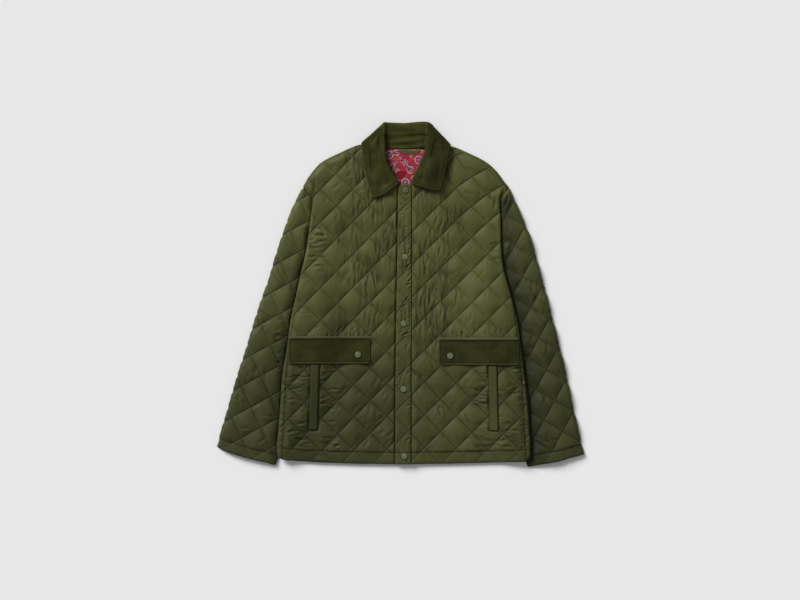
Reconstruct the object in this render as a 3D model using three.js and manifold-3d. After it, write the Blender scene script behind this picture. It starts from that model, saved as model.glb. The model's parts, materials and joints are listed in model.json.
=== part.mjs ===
// A quilted jacket laid flat on its back: millimetres, +Z up, +Y towards the collar.
// +X is the wearer's left, which is on the right as one looks down at the jacket.
import * as THREE from 'three';
import { mergeVertices } from 'three/addons/utils/BufferGeometryUtils.js';
import Module from 'manifold-3d';

const wasm = await Module();
wasm.setup();

// Driving dimensions
const SEAM_GAP = 0.3;
const BACK_WALL = 4.0;
const INSIDE_GAP = 1.6;
const FRONT_WALL = 2.6;
const PUFF = 3.6;
const PUFF_ROUND = 0.5;
const BAND_PUFF = 0.35;
const STEPS_PER_SQUARE = 3;
const ROUND_STEPS = 2;
const BODY_STEPS = 18;
const SHOULDER_STEPS = 8;
const SEAM_STEPS = 10;
const SLEEVE_STEPS = 13;
const SNAP_SIDES = 16;
const SHORT_EDGE = 0.08;
const FLAT_TRIANGLE = 0.004;
const EDGE_ROUND = 10;
const SLEEVE_CROWN = 4.0;
const TUCKED_SLEEVE = 8.0;
const SLEEVE_EDGE = 7;
const CROWN_HOLLOW = 0.45;
const UNDERARM = 60;
const BODY_LIFT = 8.5;
const LIFT_RUN = 65;
const LINING = 1.0;
const HEM_BAND = 26;
const PLACKET_RISE = 2.2;
const PLACKET_PUFF = 2.0;
const STAND_WALL = 2.2;
const STAND_FACE_WALL = 2.6;
const LEAF_WALL = 3.6;
const FLAP_WALL = 2.8;
const TRIM_WALL = 2.0;
const SNAP_RADIUS = 6.8;
const SNAP_HEIGHT = 3.4;
const SNAP_SUNK = 1.2;
const CLEAR = 60;
const TO_CENTRE = { x: -1, y: 0.5 };

const FRONT_FLOOR = BACK_WALL + INSIDE_GAP;
const FRONT_SEAM_TOP = FRONT_FLOOR + FRONT_WALL;
const FRONT_PUFF_TOP = FRONT_SEAM_TOP + PUFF;

// Edges at heights up the jacket, with left and right as one looks down at it: of the body,
// its side seams, the hidden edges of the sleeves beneath it and the sleeves' outer edges
const SECTIONS = [
  { y: 240, bodyL: -220, bodyR: 247, seamL: -230, seamR: 256, tuckL: -186, tuckR: 211, outerL: -220, outerR: 247 },
  { y: 215, bodyL: -197, bodyR: 226, seamL: -230, seamR: 256, tuckL: -180, tuckR: 205, outerL: -234, outerR: 258 },
  { y: 186, bodyL: -200, bodyR: 227, seamL: -230, seamR: 256, tuckL: -180, tuckR: 205, outerL: -247, outerR: 271 },
  { y: 149, bodyL: -205, bodyR: 228, seamL: -230, seamR: 256, tuckL: -184, tuckR: 207, outerL: -261, outerR: 287 },
  { y: 104, bodyL: -211, bodyR: 229, seamL: -225, seamR: 245, tuckL: -192, tuckR: 209, outerL: -276, outerR: 303 },
  { y: 73, bodyL: -217, bodyR: 231, seamL: -220, seamR: 236, tuckL: -197, tuckR: 208, outerL: -286, outerR: 311 },
  { y: 43, bodyL: -225, bodyR: 237, seamL: -221, seamR: 234, tuckL: -194, tuckR: 205, outerL: -294, outerR: 319 },
  { y: -7, bodyL: -235, bodyR: 251, seamL: -229, seamR: 247, tuckL: -183, tuckR: 193, outerL: -312, outerR: 333 },
  { y: -56, bodyL: -246, bodyR: 264, seamL: -238, seamR: 259, tuckL: -179, tuckR: 189, outerL: -328, outerR: 345 },
  { y: -122, bodyL: -255, bodyR: 273, seamL: -249, seamR: 268, tuckL: -188, tuckR: 197, outerL: -348, outerR: 362 },
  { y: -190, bodyL: -266, bodyR: 282, seamL: -255, seamR: 274, tuckL: -205, tuckR: 211, outerL: -370, outerR: 378 },
  { y: -253, bodyL: -270, bodyR: 289, seamL: -258, seamR: 278, tuckL: -225, tuckR: 231, outerL: -388, outerR: 391 },
  { y: -314, bodyL: -275, bodyR: 293, seamL: -261, seamR: 281, tuckL: -250, tuckR: 255, outerL: -406, outerR: 405 },
  { y: -346, bodyL: -278, bodyR: 295, seamL: -263, seamR: 283, tuckL: -263, tuckR: 271, outerL: -414, outerR: 412 },
  { y: -368, bodyL: -276, bodyR: 294, seamL: -264, seamR: 284, tuckL: -274, tuckR: 281, outerL: -420, outerR: 417 },
];

const SHOULDER_L = [
  { x: -208, y: 262 },
  { x: -191, y: 284 },
  { x: -175, y: 299 },
  { x: -142, y: 316 },
  { x: -88, y: 338 },
  { x: -57, y: 330 },
];
const SHOULDER_R = [
  { x: 234, y: 255 },
  { x: 217, y: 278 },
  { x: 196, y: 297 },
  { x: 162, y: 315 },
  { x: 114, y: 334 },
  { x: 81, y: 330 },
];
const HEM = [
  { x: -264, y: -373 },
  { x: -249, y: -375 },
  { x: -181, y: -380 },
  { x: -90, y: -383 },
  { x: 0, y: -384 },
  { x: 90, y: -383 },
  { x: 181, y: -381 },
  { x: 280, y: -378 },
];
const CUFF_L = [
  { x: -414, y: -345 },
  { x: -390, y: -356 },
  { x: -360, y: -366 },
  { x: -327, y: -375 },
  { x: -303, y: -380 },
  { x: -281, y: -387 },
];
const CUFF_R = [
  { x: 416, y: -362 },
  { x: 384, y: -370 },
  { x: 357, y: -378 },
  { x: 305, y: -387 },
  { x: 289, y: -391 },
];
const FRONT_NECK_L = [
  { x: -54, y: 328 },
  { x: -52, y: 310 },
  { x: -43, y: 285 },
  { x: -25, y: 262 },
  { x: -1, y: 250 },
];
const FRONT_NECK_R = [
  { x: 26, y: 247 },
  { x: 47, y: 262 },
  { x: 66, y: 285 },
  { x: 75, y: 310 },
  { x: 77, y: 328 },
];

// One crossing of the stitch lines on each panel, the angles of the lines and their spacing
const QUILT = {
  frontRight: { x: -142, y: -22, rise: 45.8, fall: 43.8, risePitch: 51.6, fallPitch: 52.8 },
  frontLeft: { x: 91, y: -17, rise: 45.0, fall: 46.4, risePitch: 52.0, fallPitch: 50.5 },
  sleeveRight: { x: -292, y: -231, rise: 28.5, fall: 64.7, risePitch: 51.2, fallPitch: 49.9 },
  sleeveLeft: { x: 349, y: -240, rise: 61.3, fall: 30.5, risePitch: 49.4, fallPitch: 50.8 },
};

const PLACKET_EDGE = [
  { y: 250, left: -3, right: 26 },
  { y: 244, left: -4, right: 26 },
  { y: 100, left: -6, right: 26 },
  { y: -13, left: -8, right: 26 },
  { y: -149, left: -10, right: 25 },
  { y: -384, left: -11, right: 25 },
];
const PLACKET_SNAPS = [
  { x: 12, y: 235 },
  { x: 11, y: 84 },
  { x: 8, y: -66 },
  { x: 8, y: -214 },
  { x: 10, y: -365 },
];
const FLAPS = {
  flap_right: { left: -251, right: -66, top: -101, bottom: -157, round: -1, snapX: -95, snapY: -136 },
  flap_left: { left: 87, right: 267, top: -104, bottom: -160, round: 1, snapX: 113, snapY: -139 },
};
const JETS = {
  flap_welt_right: { left: -249, right: -67, top: -95, bottom: -100.4 },
  flap_welt_left: { left: 88, right: 266, top: -98, bottom: -103.4 },
};
const HAND_POCKETS = {
  pocket_welt_right: { topX: -191, topY: -158, footX: -195.5, footY: -306, width: 19 },
  pocket_welt_left: { topX: 208.5, topY: -161, footX: 212, footY: -308, width: 19 },
};

const WING_L = [
  { x: -36, y: 386 },
  { x: -87, y: 341 },
  { x: -85, y: 314 },
  { x: -80, y: 280 },
  { x: -72, y: 247 },
  { x: -61, y: 214 },
  { x: -32, y: 226 },
  { x: 0, y: 249 },
  { x: -19, y: 280 },
  { x: -31, y: 306 },
  { x: -33, y: 332 },
];
const WING_R = [
  { x: 61, y: 387 },
  { x: 61, y: 342 },
  { x: 53, y: 315 },
  { x: 31, y: 268 },
  { x: 24, y: 247 },
  { x: 45, y: 241 },
  { x: 68, y: 234 },
  { x: 92, y: 231 },
  { x: 98, y: 256 },
  { x: 104, y: 280 },
  { x: 111, y: 314 },
  { x: 114, y: 337 },
  { x: 82, y: 372 },
];
const COLLAR_BACK = [
  { x: -36, y: 389 },
  { x: -87, y: 341 },
  { x: -72, y: 312 },
  { x: 98, y: 312 },
  { x: 114, y: 337 },
  { x: 82, y: 372 },
  { x: 61, y: 390 },
  { x: 11, y: 386 },
];
const COLLAR_BACK_FOOT = 332;
const COLLAR_FOLD = [
  { x: -40, y: 381 },
  { x: -80, y: 343 },
  { x: -79, y: 310 },
  { x: 107, y: 310 },
  { x: 107, y: 339 },
  { x: 80, y: 366 },
  { x: 62, y: 381 },
  { x: 11, y: 379 },
];
const STAND_OUTLINE = [
  { x: -53, y: 357.4 },
  { x: -53, y: 330 },
  { x: -50, y: 308 },
  { x: -43, y: 284 },
  { x: -25, y: 259 },
  { x: -12, y: 264 },
  { x: -21, y: 280 },
  { x: -33, y: 306 },
  { x: -33, y: 327.6 },
  { x: 58, y: 327.6 },
  { x: 55, y: 315 },
  { x: 33, y: 268 },
  { x: 31, y: 262 },
  { x: 46, y: 258 },
  { x: 61, y: 278 },
  { x: 73, y: 306 },
  { x: 76, y: 330 },
  { x: 76, y: 357.4 },
];
// The inner face of the collar at the back of the neck, from its rolled edge down to the neck seam
const COLLAR_FACE = [
  { y: 400, z: 4.0 },
  { y: 389, z: 8.5 },
  { y: 384, z: 11.6 },
  { y: 377, z: 12.2 },
  { y: 358, z: 10.0 },
  { y: 326, z: 6.4 },
];
const LINING_EDGE = [
  { x: -46, y: 326.6 },
  { x: -44, y: 300 },
  { x: -32, y: 268 },
  { x: -10, y: 236 },
  { x: 30, y: 236 },
  { x: 52, y: 262 },
  { x: 66, y: 296 },
  { x: 69, y: 326.6 },
];
const HANGER_LOOP = [
  { x: -4, y: 325 },
  { x: 5, y: 321 },
  { x: 20, y: 318 },
  { x: 36, y: 320 },
  { x: 46, y: 324 },
];

const CLOTH = {
  shell: { color: 0x4c5230, roughness: 0.55, metalness: 0 },
  corduroy: { color: 0x34371b, roughness: 0.95, metalness: 0 },
  paisley: { color: 0xa3202c, roughness: 0.85, metalness: 0 },
  snap: { color: 0x6f7556, roughness: 0.35, metalness: 0.2 },
};

// Small sums
const clamp01 = (t) => Math.min(1, Math.max(0, t));
const smooth = (t) => clamp01(t) ** 2 * (3 - 2 * clamp01(t));
const mix = (a, b, t) => a + (b - a) * t;
const radians = (degrees) => degrees * Math.PI / 180;

// Smooth value of a table column at a height, with no overshoot between rows
function between(rows, key, name, at) {
  const down = rows[0][key] > rows[rows.length - 1][key];
  const sorted = down ? [...rows].reverse() : rows;
  let i = 0;
  while (i < sorted.length - 2 && at > sorted[i + 1][key]) i += 1;
  const slope = (k) => (sorted[k + 1][name] - sorted[k][name]) / (sorted[k + 1][key] - sorted[k][key]);
  const tangent = (k) => {
    if (k <= 0) return slope(0);
    if (k >= sorted.length - 1) return slope(sorted.length - 2);
    const before = slope(k - 1);
    const after = slope(k);
    return before * after <= 0 ? 0 : (2 * before * after) / (before + after);
  };
  const step = sorted[i + 1][key] - sorted[i][key];
  const t = clamp01((at - sorted[i][key]) / step);
  const blend = t * t * (3 - 2 * t);
  return mix(sorted[i][name], sorted[i + 1][name], blend)
    + step * (t * (1 - t) ** 2 * tangent(i) - t * t * (1 - t) * tangent(i + 1));
}
const section = (name, y) => between(SECTIONS, 'y', name, y);

// Points down one column of the section table
function edge(name, from, to, steps) {
  return Array.from({ length: steps + 1 }, (_, i) => {
    const y = mix(from, to, i / steps);
    return { x: section(name, y), y };
  });
}

// A smooth curve through hand-placed points
function curve(points, pieces) {
  const line = new THREE.SplineCurve(points.map((p) => new THREE.Vector2(p.x, p.y)));
  return line.getPoints(pieces).map((p) => ({ x: p.x, y: p.y }));
}

// A closed outline moved outwards by a distance, or inwards when it is negative
function grown(outline, distance) {
  const area = outline.reduce((sum, p, i) => {
    const q = outline[(i + 1) % outline.length];
    return sum + p.x * q.y - q.x * p.y;
  }, 0);
  const side = Math.sign(area) * distance;
  return outline.map((p, i) => {
    const a = outline[(i + outline.length - 1) % outline.length];
    const b = outline[(i + 1) % outline.length];
    const before = new THREE.Vector2(p.y - a.y, a.x - p.x).normalize();
    const after = new THREE.Vector2(b.y - p.y, p.x - b.x).normalize();
    const out = before.clone().add(after);
    const scale = side / Math.max(0.35, out.lengthSq() / 2);
    return { x: p.x + out.x * scale, y: p.y + out.y * scale };
  });
}

function shapeOf(outline) {
  return new THREE.Shape(outline.map((p) => new THREE.Vector2(p.x, p.y)));
}

// A closed solid from any closed three.js geometry
function toSolid(geometry) {
  const bare = geometry.clone();
  bare.deleteAttribute('normal');
  bare.deleteAttribute('uv');
  const merged = mergeVertices(bare, 1e-4);
  const index = merged.index.array;
  const triVerts = [];
  for (let i = 0; i < index.length; i += 3) {
    const [a, b, c] = [index[i], index[i + 1], index[i + 2]];
    if (a !== b && b !== c && c !== a) triVerts.push(a, b, c);
  }
  const mesh = new wasm.Mesh({
    numProp: 3,
    vertProperties: new Float32Array(merged.attributes.position.array),
    triVerts: new Uint32Array(triVerts),
  });
  return new wasm.Manifold(mesh);
}

// A block with one layer of cells, whose two faces follow heights over the floor
function slab(columns, rows, place, bottom, top) {
  const box = new THREE.BoxGeometry(1, 1, 1, columns, rows, 1);
  const at = box.attributes.position;
  for (let i = 0; i < at.count; i += 1) {
    const spot = place(at.getX(i) + 0.5, at.getY(i) + 0.5);
    const z = at.getZ(i) > 0 ? top(spot.x, spot.y, spot) : bottom(spot.x, spot.y, spot);
    at.setXYZ(i, spot.x, spot.y, z);
  }
  return toSolid(box);
}

function plainSlab(area, columns, rows, bottom, top) {
  const place = (u, v) => ({ x: mix(area.left, area.right, u), y: mix(area.low, area.high, v) });
  return slab(columns, rows, place, bottom, top);
}

// Straight-sided column over an outline
function prism(outline, low, high) {
  const geometry = new THREE.ExtrudeGeometry(shapeOf(outline), { depth: high - low, bevelEnabled: false });
  geometry.translate(0, 0, low);
  return toSolid(geometry);
}

// Column over an outline, drawn in by a rounded edge between two heights
function rounded(outline, bottom, top, round = EDGE_ROUND) {
  const geometry = new THREE.ExtrudeGeometry(shapeOf(outline), {
    depth: 1,
    steps: 1,
    bevelEnabled: true,
    bevelThickness: 1,
    bevelSize: round,
    bevelOffset: -round,
    bevelSegments: ROUND_STEPS,
    curveSegments: 1,
  });
  const at = geometry.attributes.position;
  for (let i = 0; i < at.count; i += 1) {
    const x = at.getX(i);
    const y = at.getY(i);
    const low = bottom(x, y);
    const high = top(x, y);
    const height = at.getZ(i);
    const part = height < 0.5 ? -height : height - 1;
    const middle = mix(low, high, height < 0.5 ? 0.42 : 0.58);
    let z = mix(middle, height < 0.5 ? low : high, part);
    if (part > 0.99) z = height < 0.5 ? low - CLEAR : high + CLEAR;
    at.setZ(i, z);
  }
  return toSolid(geometry);
}

// Stitch lines: the rise lines climb to the right, the fall lines drop to the right
function crossing(quilt, a, b) {
  const rise = radians(quilt.rise);
  const fall = radians(quilt.fall);
  const turn = Math.sin(rise + fall);
  const across = a * quilt.risePitch;
  const along = b * quilt.fallPitch;
  return {
    x: quilt.x + (across * Math.cos(fall) + along * Math.cos(rise)) / turn,
    y: quilt.y + (along * Math.sin(rise) - across * Math.sin(fall)) / turn,
  };
}

function latticeAt(quilt, x, y) {
  const rise = radians(quilt.rise);
  const fall = radians(quilt.fall);
  const dx = x - quilt.x;
  const dy = y - quilt.y;
  return {
    a: (Math.sin(rise) * dx - Math.cos(rise) * dy) / quilt.risePitch,
    b: (Math.sin(fall) * dx + Math.cos(fall) * dy) / quilt.fallPitch,
  };
}

// The lines on the left front sag towards the shoulder
function sag(x, y) {
  return 0.35 * Math.max(0, x - 124) * Math.max(0, (y - 134) / 147) ** 1.5;
}

function puffAt(a, b) {
  const across = Math.abs(Math.sin(Math.PI * a));
  const along = Math.abs(Math.sin(Math.PI * b));
  return (across * along) ** PUFF_ROUND;
}

// A block whose top face has one puff between each pair of stitch lines
function quilted(quilt, area, top, sags = false) {
  const corners = [
    latticeAt(quilt, area.left, area.low),
    latticeAt(quilt, area.right, area.low),
    latticeAt(quilt, area.left, area.high),
    latticeAt(quilt, area.right, area.high),
  ];
  const first = {
    a: Math.floor(Math.min(...corners.map((c) => c.a))),
    b: Math.floor(Math.min(...corners.map((c) => c.b))),
  };
  const last = {
    a: Math.ceil(Math.max(...corners.map((c) => c.a))) + (sags ? 1 : 0),
    b: Math.ceil(Math.max(...corners.map((c) => c.b))) + (sags ? 1 : 0),
  };
  const columns = (last.a - first.a) * STEPS_PER_SQUARE;
  const rows = (last.b - first.b) * STEPS_PER_SQUARE;
  const place = (u, v) => {
    const a = mix(first.a, last.a, u);
    const b = mix(first.b, last.b, v);
    const spot = crossing(quilt, a, b);
    const straight = spot.y;
    for (let turn = 0; sags && turn < 6; turn += 1) spot.y = straight - sag(spot.x, spot.y);
    return { ...spot, a, b };
  };
  const topAt = (x, y, spot) => top(x, y, puffAt(spot.a, spot.b));
  return slab(columns, rows, place, () => -CLEAR, topAt);
}

// How far the body rises over the sleeves that lie beneath its sides
function lift(x, y) {
  const left = 1 - smooth((x - section('tuckL', y) - 2) / LIFT_RUN);
  const right = 1 - smooth((section('tuckR', y) - x - 2) / LIFT_RUN);
  return BODY_LIFT * Math.max(left, right) * smooth((155 - y) / 115);
}

// A block whose columns follow the edges of the tucked sleeves, where the body rises over them
const LIFT_STEPS = [2, 14, 26, 38, 50, 60, 67];
const BODY_ROWS = [-400, -350, -300, -250, -200, -150, -100, -50, 0, 40, 65, 90, 115, 140, 156, 345];
function bodySlab(bottom, top) {
  const columns = 2 * LIFT_STEPS.length + 1;
  const place = (u, v) => {
    const y = BODY_ROWS[Math.round(v * (BODY_ROWS.length - 1))];
    const i = Math.round(u * columns);
    if (i === 0) return { x: -330, y };
    if (i === columns) return { x: 350, y };
    const fromLeft = i <= LIFT_STEPS.length;
    if (fromLeft) return { x: section('tuckL', y) + LIFT_STEPS[i - 1], y };
    return { x: section('tuckR', y) - LIFT_STEPS[columns - 1 - i], y };
  };
  return slab(columns, BODY_ROWS.length - 1, place, bottom, top);
}

function hemLine(x) {
  return between(HEM, 'x', 'y', x) + HEM_BAND;
}

// Puffs flatten in the hem band and where they meet a seam
function bodyRelief(x, y) {
  return mix(BAND_PUFF, 1, smooth((y - hemLine(x) + 6) / 12));
}

function frontTop(x, y, puff) {
  const overPlacket = PLACKET_RISE * smooth(1 - (x - 26) / 40) * smooth((x - 15) / 8);
  return lift(x, y) + FRONT_SEAM_TOP + overPlacket + PUFF * puff * bodyRelief(x, y);
}

const bodyOutline = [
  ...edge('bodyL', -368, 240, BODY_STEPS),
  ...curve(SHOULDER_L, SHOULDER_STEPS),
  ...curve([...SHOULDER_R].reverse(), SHOULDER_STEPS),
  ...edge('bodyR', 240, -368, BODY_STEPS),
  ...[...HEM].reverse(),
].reverse();

// The part of the body seen from above: inside the side seams and the shoulder seams
const facingOutline = [
  { x: -264, y: -420 },
  ...edge('seamL', -368, 215, SEAM_STEPS),
  { x: -212, y: 251 },
  ...curve(SHOULDER_L, SHOULDER_STEPS).map((p) => ({ x: p.x + 1, y: p.y - 5 })).slice(0, -1),
  { x: -54, y: 328 },
  { x: -54, y: 345 },
  { x: 77, y: 345 },
  { x: 77, y: 328 },
  ...curve([...SHOULDER_R].reverse(), SHOULDER_STEPS).map((p) => ({ x: p.x - 1, y: p.y - 5 })).slice(1),
  { x: 238, y: 248 },
  ...edge('seamR', 215, -368, SEAM_STEPS),
  { x: 284, y: -420 },
].reverse();

const frontRightOutline = [
  { x: -264, y: -420 },
  ...edge('seamL', -368, 215, SEAM_STEPS),
  { x: -212, y: 251 },
  ...curve(SHOULDER_L, SHOULDER_STEPS).map((p) => ({ x: p.x + 1, y: p.y - 5 })).slice(0, -1),
  ...curve(FRONT_NECK_L, 6),
  { x: 24, y: 246 },
  { x: 24, y: -420 },
].reverse();

const frontLeftOutline = [
  { x: 25.3 + SEAM_GAP, y: -420 },
  { x: 26.3 + SEAM_GAP, y: 100 },
  { x: 26.3 + SEAM_GAP, y: 246 },
  ...curve(FRONT_NECK_R, 6),
  ...curve([...SHOULDER_R].reverse(), SHOULDER_STEPS).map((p) => ({ x: p.x - 1, y: p.y - 5 })).slice(1),
  { x: 238, y: 248 },
  ...edge('seamR', 215, -368, SEAM_STEPS),
  { x: 284, y: -420 },
].reverse();

const shellBottom = lift;
const shellTop = (x, y) => lift(x, y) + FRONT_PUFF_TOP;

// The space inside the jacket, shut at the sides and shoulders and open at the neck, hem and armholes
function bodyInside() {
  const space = bodySlab((x, y) => lift(x, y) + BACK_WALL, (x, y) => lift(x, y) + FRONT_FLOOR);
  const sides = [
    { x: -268, y: -420 },
    ...edge('bodyL', -368, 60, SEAM_STEPS).map((p) => ({ x: p.x + 7, y: p.y })),
    ...edge('bodyL', 50, 205, 6).map((p) => ({ x: p.x - 12, y: p.y })),
    ...curve(SHOULDER_L, SHOULDER_STEPS).map((p) => ({ x: p.x + 5, y: p.y - 10 })).slice(1, -1),
    { x: -58, y: 360 },
    { x: 82, y: 360 },
    ...curve([...SHOULDER_R].reverse(), SHOULDER_STEPS).map((p) => ({ x: p.x - 5, y: p.y - 10 })).slice(1, -1),
    ...edge('bodyR', 205, 50, 6).map((p) => ({ x: p.x + 12, y: p.y })),
    ...edge('bodyR', 60, -368, SEAM_STEPS).map((p) => ({ x: p.x - 7, y: p.y })),
    { x: 286, y: -420 },
  ].reverse();
  return space.intersect(prism(sides, -CLEAR, CLEAR));
}

function above(height) {
  return bodySlab(height, () => 2 * CLEAR);
}

const middle = (BACK_WALL + FRONT_FLOOR) / 2;
const inside = bodyInside();
const bodyEdge = rounded(bodyOutline, shellBottom, shellTop);
const quiltRight = quilted(QUILT.frontRight, { left: -290, right: 30, low: -395, high: 345 }, frontTop);
const quiltLeft = quilted(QUILT.frontLeft, { left: 20, right: 305, low: -395, high: 345 }, frontTop, true);

function frontPanel(quilt, outline) {
  return quilt
    .intersect(bodyEdge)
    .intersect(prism(grown(outline, -SEAM_GAP / 2), -CLEAR, CLEAR))
    .intersect(above((x, y) => lift(x, y) + middle + SEAM_GAP / 2))
    .subtract(inside);
}

function backPanel() {
  const top = (x, y) => lift(x, y) + FRONT_SEAM_TOP + 0.3 * PUFF;
  const whole = bodySlab(shellBottom, top).intersect(bodyEdge);
  const facing = prism(grown(facingOutline, SEAM_GAP / 2), -CLEAR, 3 * CLEAR)
    .intersect(above((x, y) => lift(x, y) + middle - SEAM_GAP / 2));
  const neck = prism([
    { x: -62, y: 327.3 },
    { x: 84, y: 327.3 },
    { x: 84, y: 400 },
    { x: -62, y: 400 },
  ], -CLEAR, CLEAR);
  return whole.subtract(facing).subtract(inside).subtract(neck);
}

// The body without its hollow and a little larger, to cut what lies against it
function bodyCutter(gap) {
  const outline = grown(bodyOutline, gap);
  const low = (x, y) => lift(x, y) - gap;
  const high = (x, y) => shellTop(x, y) + gap;
  return bodySlab(low, high).intersect(rounded(outline, low, high));
}

// Sleeves: a flattened quilted tube, hollow and open at the armhole and the cuff
function sleeveOutline(outer, tuck, cuff, corner) {
  return [
    ...edge(outer, 235, corner, SLEEVE_STEPS),
    ...cuff,
    ...edge(tuck, -368, 240, SLEEVE_STEPS),
  ];
}

function sleeve(side, quilt) {
  const isLeft = side === 'L';
  const sign = isLeft ? 1 : -1;
  const outer = `outer${side}`;
  const tuck = `tuck${side}`;
  const body = `body${side}`;
  const cuff = isLeft ? CUFF_L : CUFF_R;
  const corner = isLeft ? -332 : -350;
  const outline = sleeveOutline(outer, tuck, cuff, corner);
  const seen = (x, y) => sign * (x - section(outer, y)) / Math.abs(section(body, y) - section(outer, y));
  const crown = (x, y) => SLEEVE_CROWN * Math.sin(Math.PI * clamp01(seen(x, y))) ** 0.8;
  const bare = (x, y) => 1 - smooth((seen(x, y) - 0.85) / 0.25);
  const top = (x, y, puff) => TUCKED_SLEEVE + crown(x, y) + PUFF * puff * bare(x, y);
  const area = isLeft
    ? { left: -425, right: -170, low: -395, high: 262 }
    : { left: 180, right: 425, low: -395, high: 262 };
  const solid = quilted(quilt, area, top)
    .intersect(plainSlab(area, 1, 1, () => 0, () => CLEAR))
    .intersect(rounded(outline, () => 0, (x, y) => TUCKED_SLEEVE + crown(x, y) + PUFF * bare(x, y), 8));
  const hollowTop = (x, y) => BACK_WALL + INSIDE_GAP + CROWN_HOLLOW * crown(x, y);
  const wall = SLEEVE_EDGE * sign;
  const place = (u, v) => {
    const y = mix(-420, 262, v);
    const tuckEdge = section(tuck, y) - (y > UNDERARM ? 2 * wall : wall);
    return { x: mix(section(outer, y) + wall, tuckEdge, isLeft ? u : 1 - u), y };
  };
  const hollow = slab(6, 11, place, () => BACK_WALL, hollowTop);
  return solid.subtract(hollow);
}

// The placket lies over the edge of the right front
function placketOutline(gap) {
  const steps = 6;
  const sides = (name, from, to) => Array.from({ length: steps + 1 }, (_, i) => {
    const y = mix(from, to, i / steps);
    return { x: between(PLACKET_EDGE, 'y', name, y), y };
  });
  const down = sides('left', 240, -384);
  const up = sides('right', -384, 247);
  const outline = [{ x: 0, y: 248 }, ...down, ...up, { x: 16, y: 249 }];
  return gap ? grown(outline, gap) : outline;
}

const placketFloor = FRONT_SEAM_TOP + 0.4 + SEAM_GAP;

function placket() {
  const top = (x, y, puff) => placketFloor + FRONT_WALL + PLACKET_PUFF * puff * bodyRelief(x, y);
  const high = placketFloor + FRONT_WALL + PLACKET_PUFF;
  const area = { left: -20, right: 34, low: -392, high: 256 };
  return quilted(QUILT.frontLeft, area, top)
    .intersect(plainSlab(area, 1, 1, () => placketFloor, () => CLEAR))
    .intersect(rounded(placketOutline(0), () => placketFloor - 1, () => high, 4));
}

function placketCutter() {
  return prism(placketOutline(SEAM_GAP), placketFloor - SEAM_GAP, CLEAR);
}

// What lies on a front panel: its underside bridges the puffs
const onFront = (x, y) => lift(x, y) + FRONT_PUFF_TOP + SEAM_GAP;

function roundedCorners(flap, radius) {
  const { left, right, top, bottom } = flap;
  const shape = new THREE.Shape();
  const atLeft = flap.round > 0 ? radius : 4;
  const atRight = flap.round > 0 ? 4 : radius;
  shape.moveTo(left, top);
  shape.lineTo(left, bottom + atLeft);
  shape.quadraticCurveTo(left, bottom, left + atLeft, bottom);
  shape.lineTo(right - atRight, bottom);
  shape.quadraticCurveTo(right, bottom, right, bottom + atRight);
  shape.lineTo(right, top);
  return shape.getPoints(5).map((p) => ({ x: p.x, y: p.y }));
}

function pocketFlap(flap) {
  const area = { left: flap.left - 5, right: flap.right + 5, low: flap.bottom - 5, high: flap.top + 5 };
  const outline = roundedCorners(flap, 10);
  const under = onFront;
  return plainSlab(area, 9, 2, under, (x, y) => under(x, y) + FLAP_WALL)
    .intersect(rounded(outline, under, (x, y) => under(x, y) + FLAP_WALL, 2.5));
}

function flapWelt(jet) {
  const area = { left: jet.left, right: jet.right, low: jet.bottom, high: jet.top };
  return plainSlab(area, 9, 1, onFront, (x, y) => onFront(x, y) + TRIM_WALL);
}

function pocketWelt(welt, gap) {
  const half = welt.width / 2 + gap;
  const place = (u, v) => ({
    x: mix(welt.footX, welt.topX, v) + mix(-half, half, u),
    y: mix(welt.footY - gap, welt.topY + gap, v),
  });
  const floor = (x, y) => lift(x, y) + FRONT_SEAM_TOP + 0.8 - gap;
  const top = (x, y) => (gap ? 2 * CLEAR : floor(x, y) + PUFF);
  return slab(2, 8, place, floor, top);
}

// A snap cap: a low dome on a short rim
function snapCap(x, y, seat) {
  const profile = [
    new THREE.Vector2(0, 0),
    new THREE.Vector2(SNAP_RADIUS, 0),
    new THREE.Vector2(SNAP_RADIUS, SNAP_SUNK + 0.9),
    new THREE.Vector2(0.86 * SNAP_RADIUS, SNAP_SUNK + 1.7),
    new THREE.Vector2(0.5 * SNAP_RADIUS, SNAP_HEIGHT - 0.2),
    new THREE.Vector2(0, SNAP_HEIGHT),
  ];
  const cap = new THREE.LatheGeometry(profile, SNAP_SIDES);
  cap.rotateX(Math.PI / 2);
  cap.translate(x, y, seat - SNAP_SUNK);
  return toSolid(cap);
}

function snapSocket(x, y, seat) {
  const radius = SNAP_RADIUS + 1.5 * SEAM_GAP;
  const socket = new THREE.CylinderGeometry(radius, radius, CLEAR, SNAP_SIDES);
  socket.rotateX(Math.PI / 2);
  socket.translate(x, y, seat - SNAP_SUNK - SEAM_GAP + CLEAR / 2);
  return toSolid(socket);
}

const placketSeat = placketFloor + FRONT_WALL + 0.4 * PLACKET_PUFF;
const flapSeat = (flap) => onFront(flap.snapX, flap.snapY) + FLAP_WALL;

// The collar: a stand sewn to the neck and a leaf that rolls over it
const faceHeight = (x, y) => between(COLLAR_FACE, 'y', 'z', y);
const standFloor = FRONT_PUFF_TOP + SEAM_GAP;
const leafFloor = standFloor + STAND_WALL + SEAM_GAP;
const leafTop = leafFloor + LEAF_WALL;
const wingLiftR = (x, y) => 5 * smooth((x - 50) / 50) * smooth((345 - y) / 60);
const wingLiftL = (x, y) => 2 * smooth((-45 - x) / 40) * smooth((300 - y) / 60);

function wing(outline, raise) {
  const area = { left: -95, right: 120, low: 200, high: 395 };
  const floor = (x, y) => leafFloor + 0.1 + raise(x, y);
  const top = (x, y) => leafTop - 0.1 + raise(x, y);
  return plainSlab(area, 8, 8, floor, top).intersect(rounded(outline, floor, top, 3));
}

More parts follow.
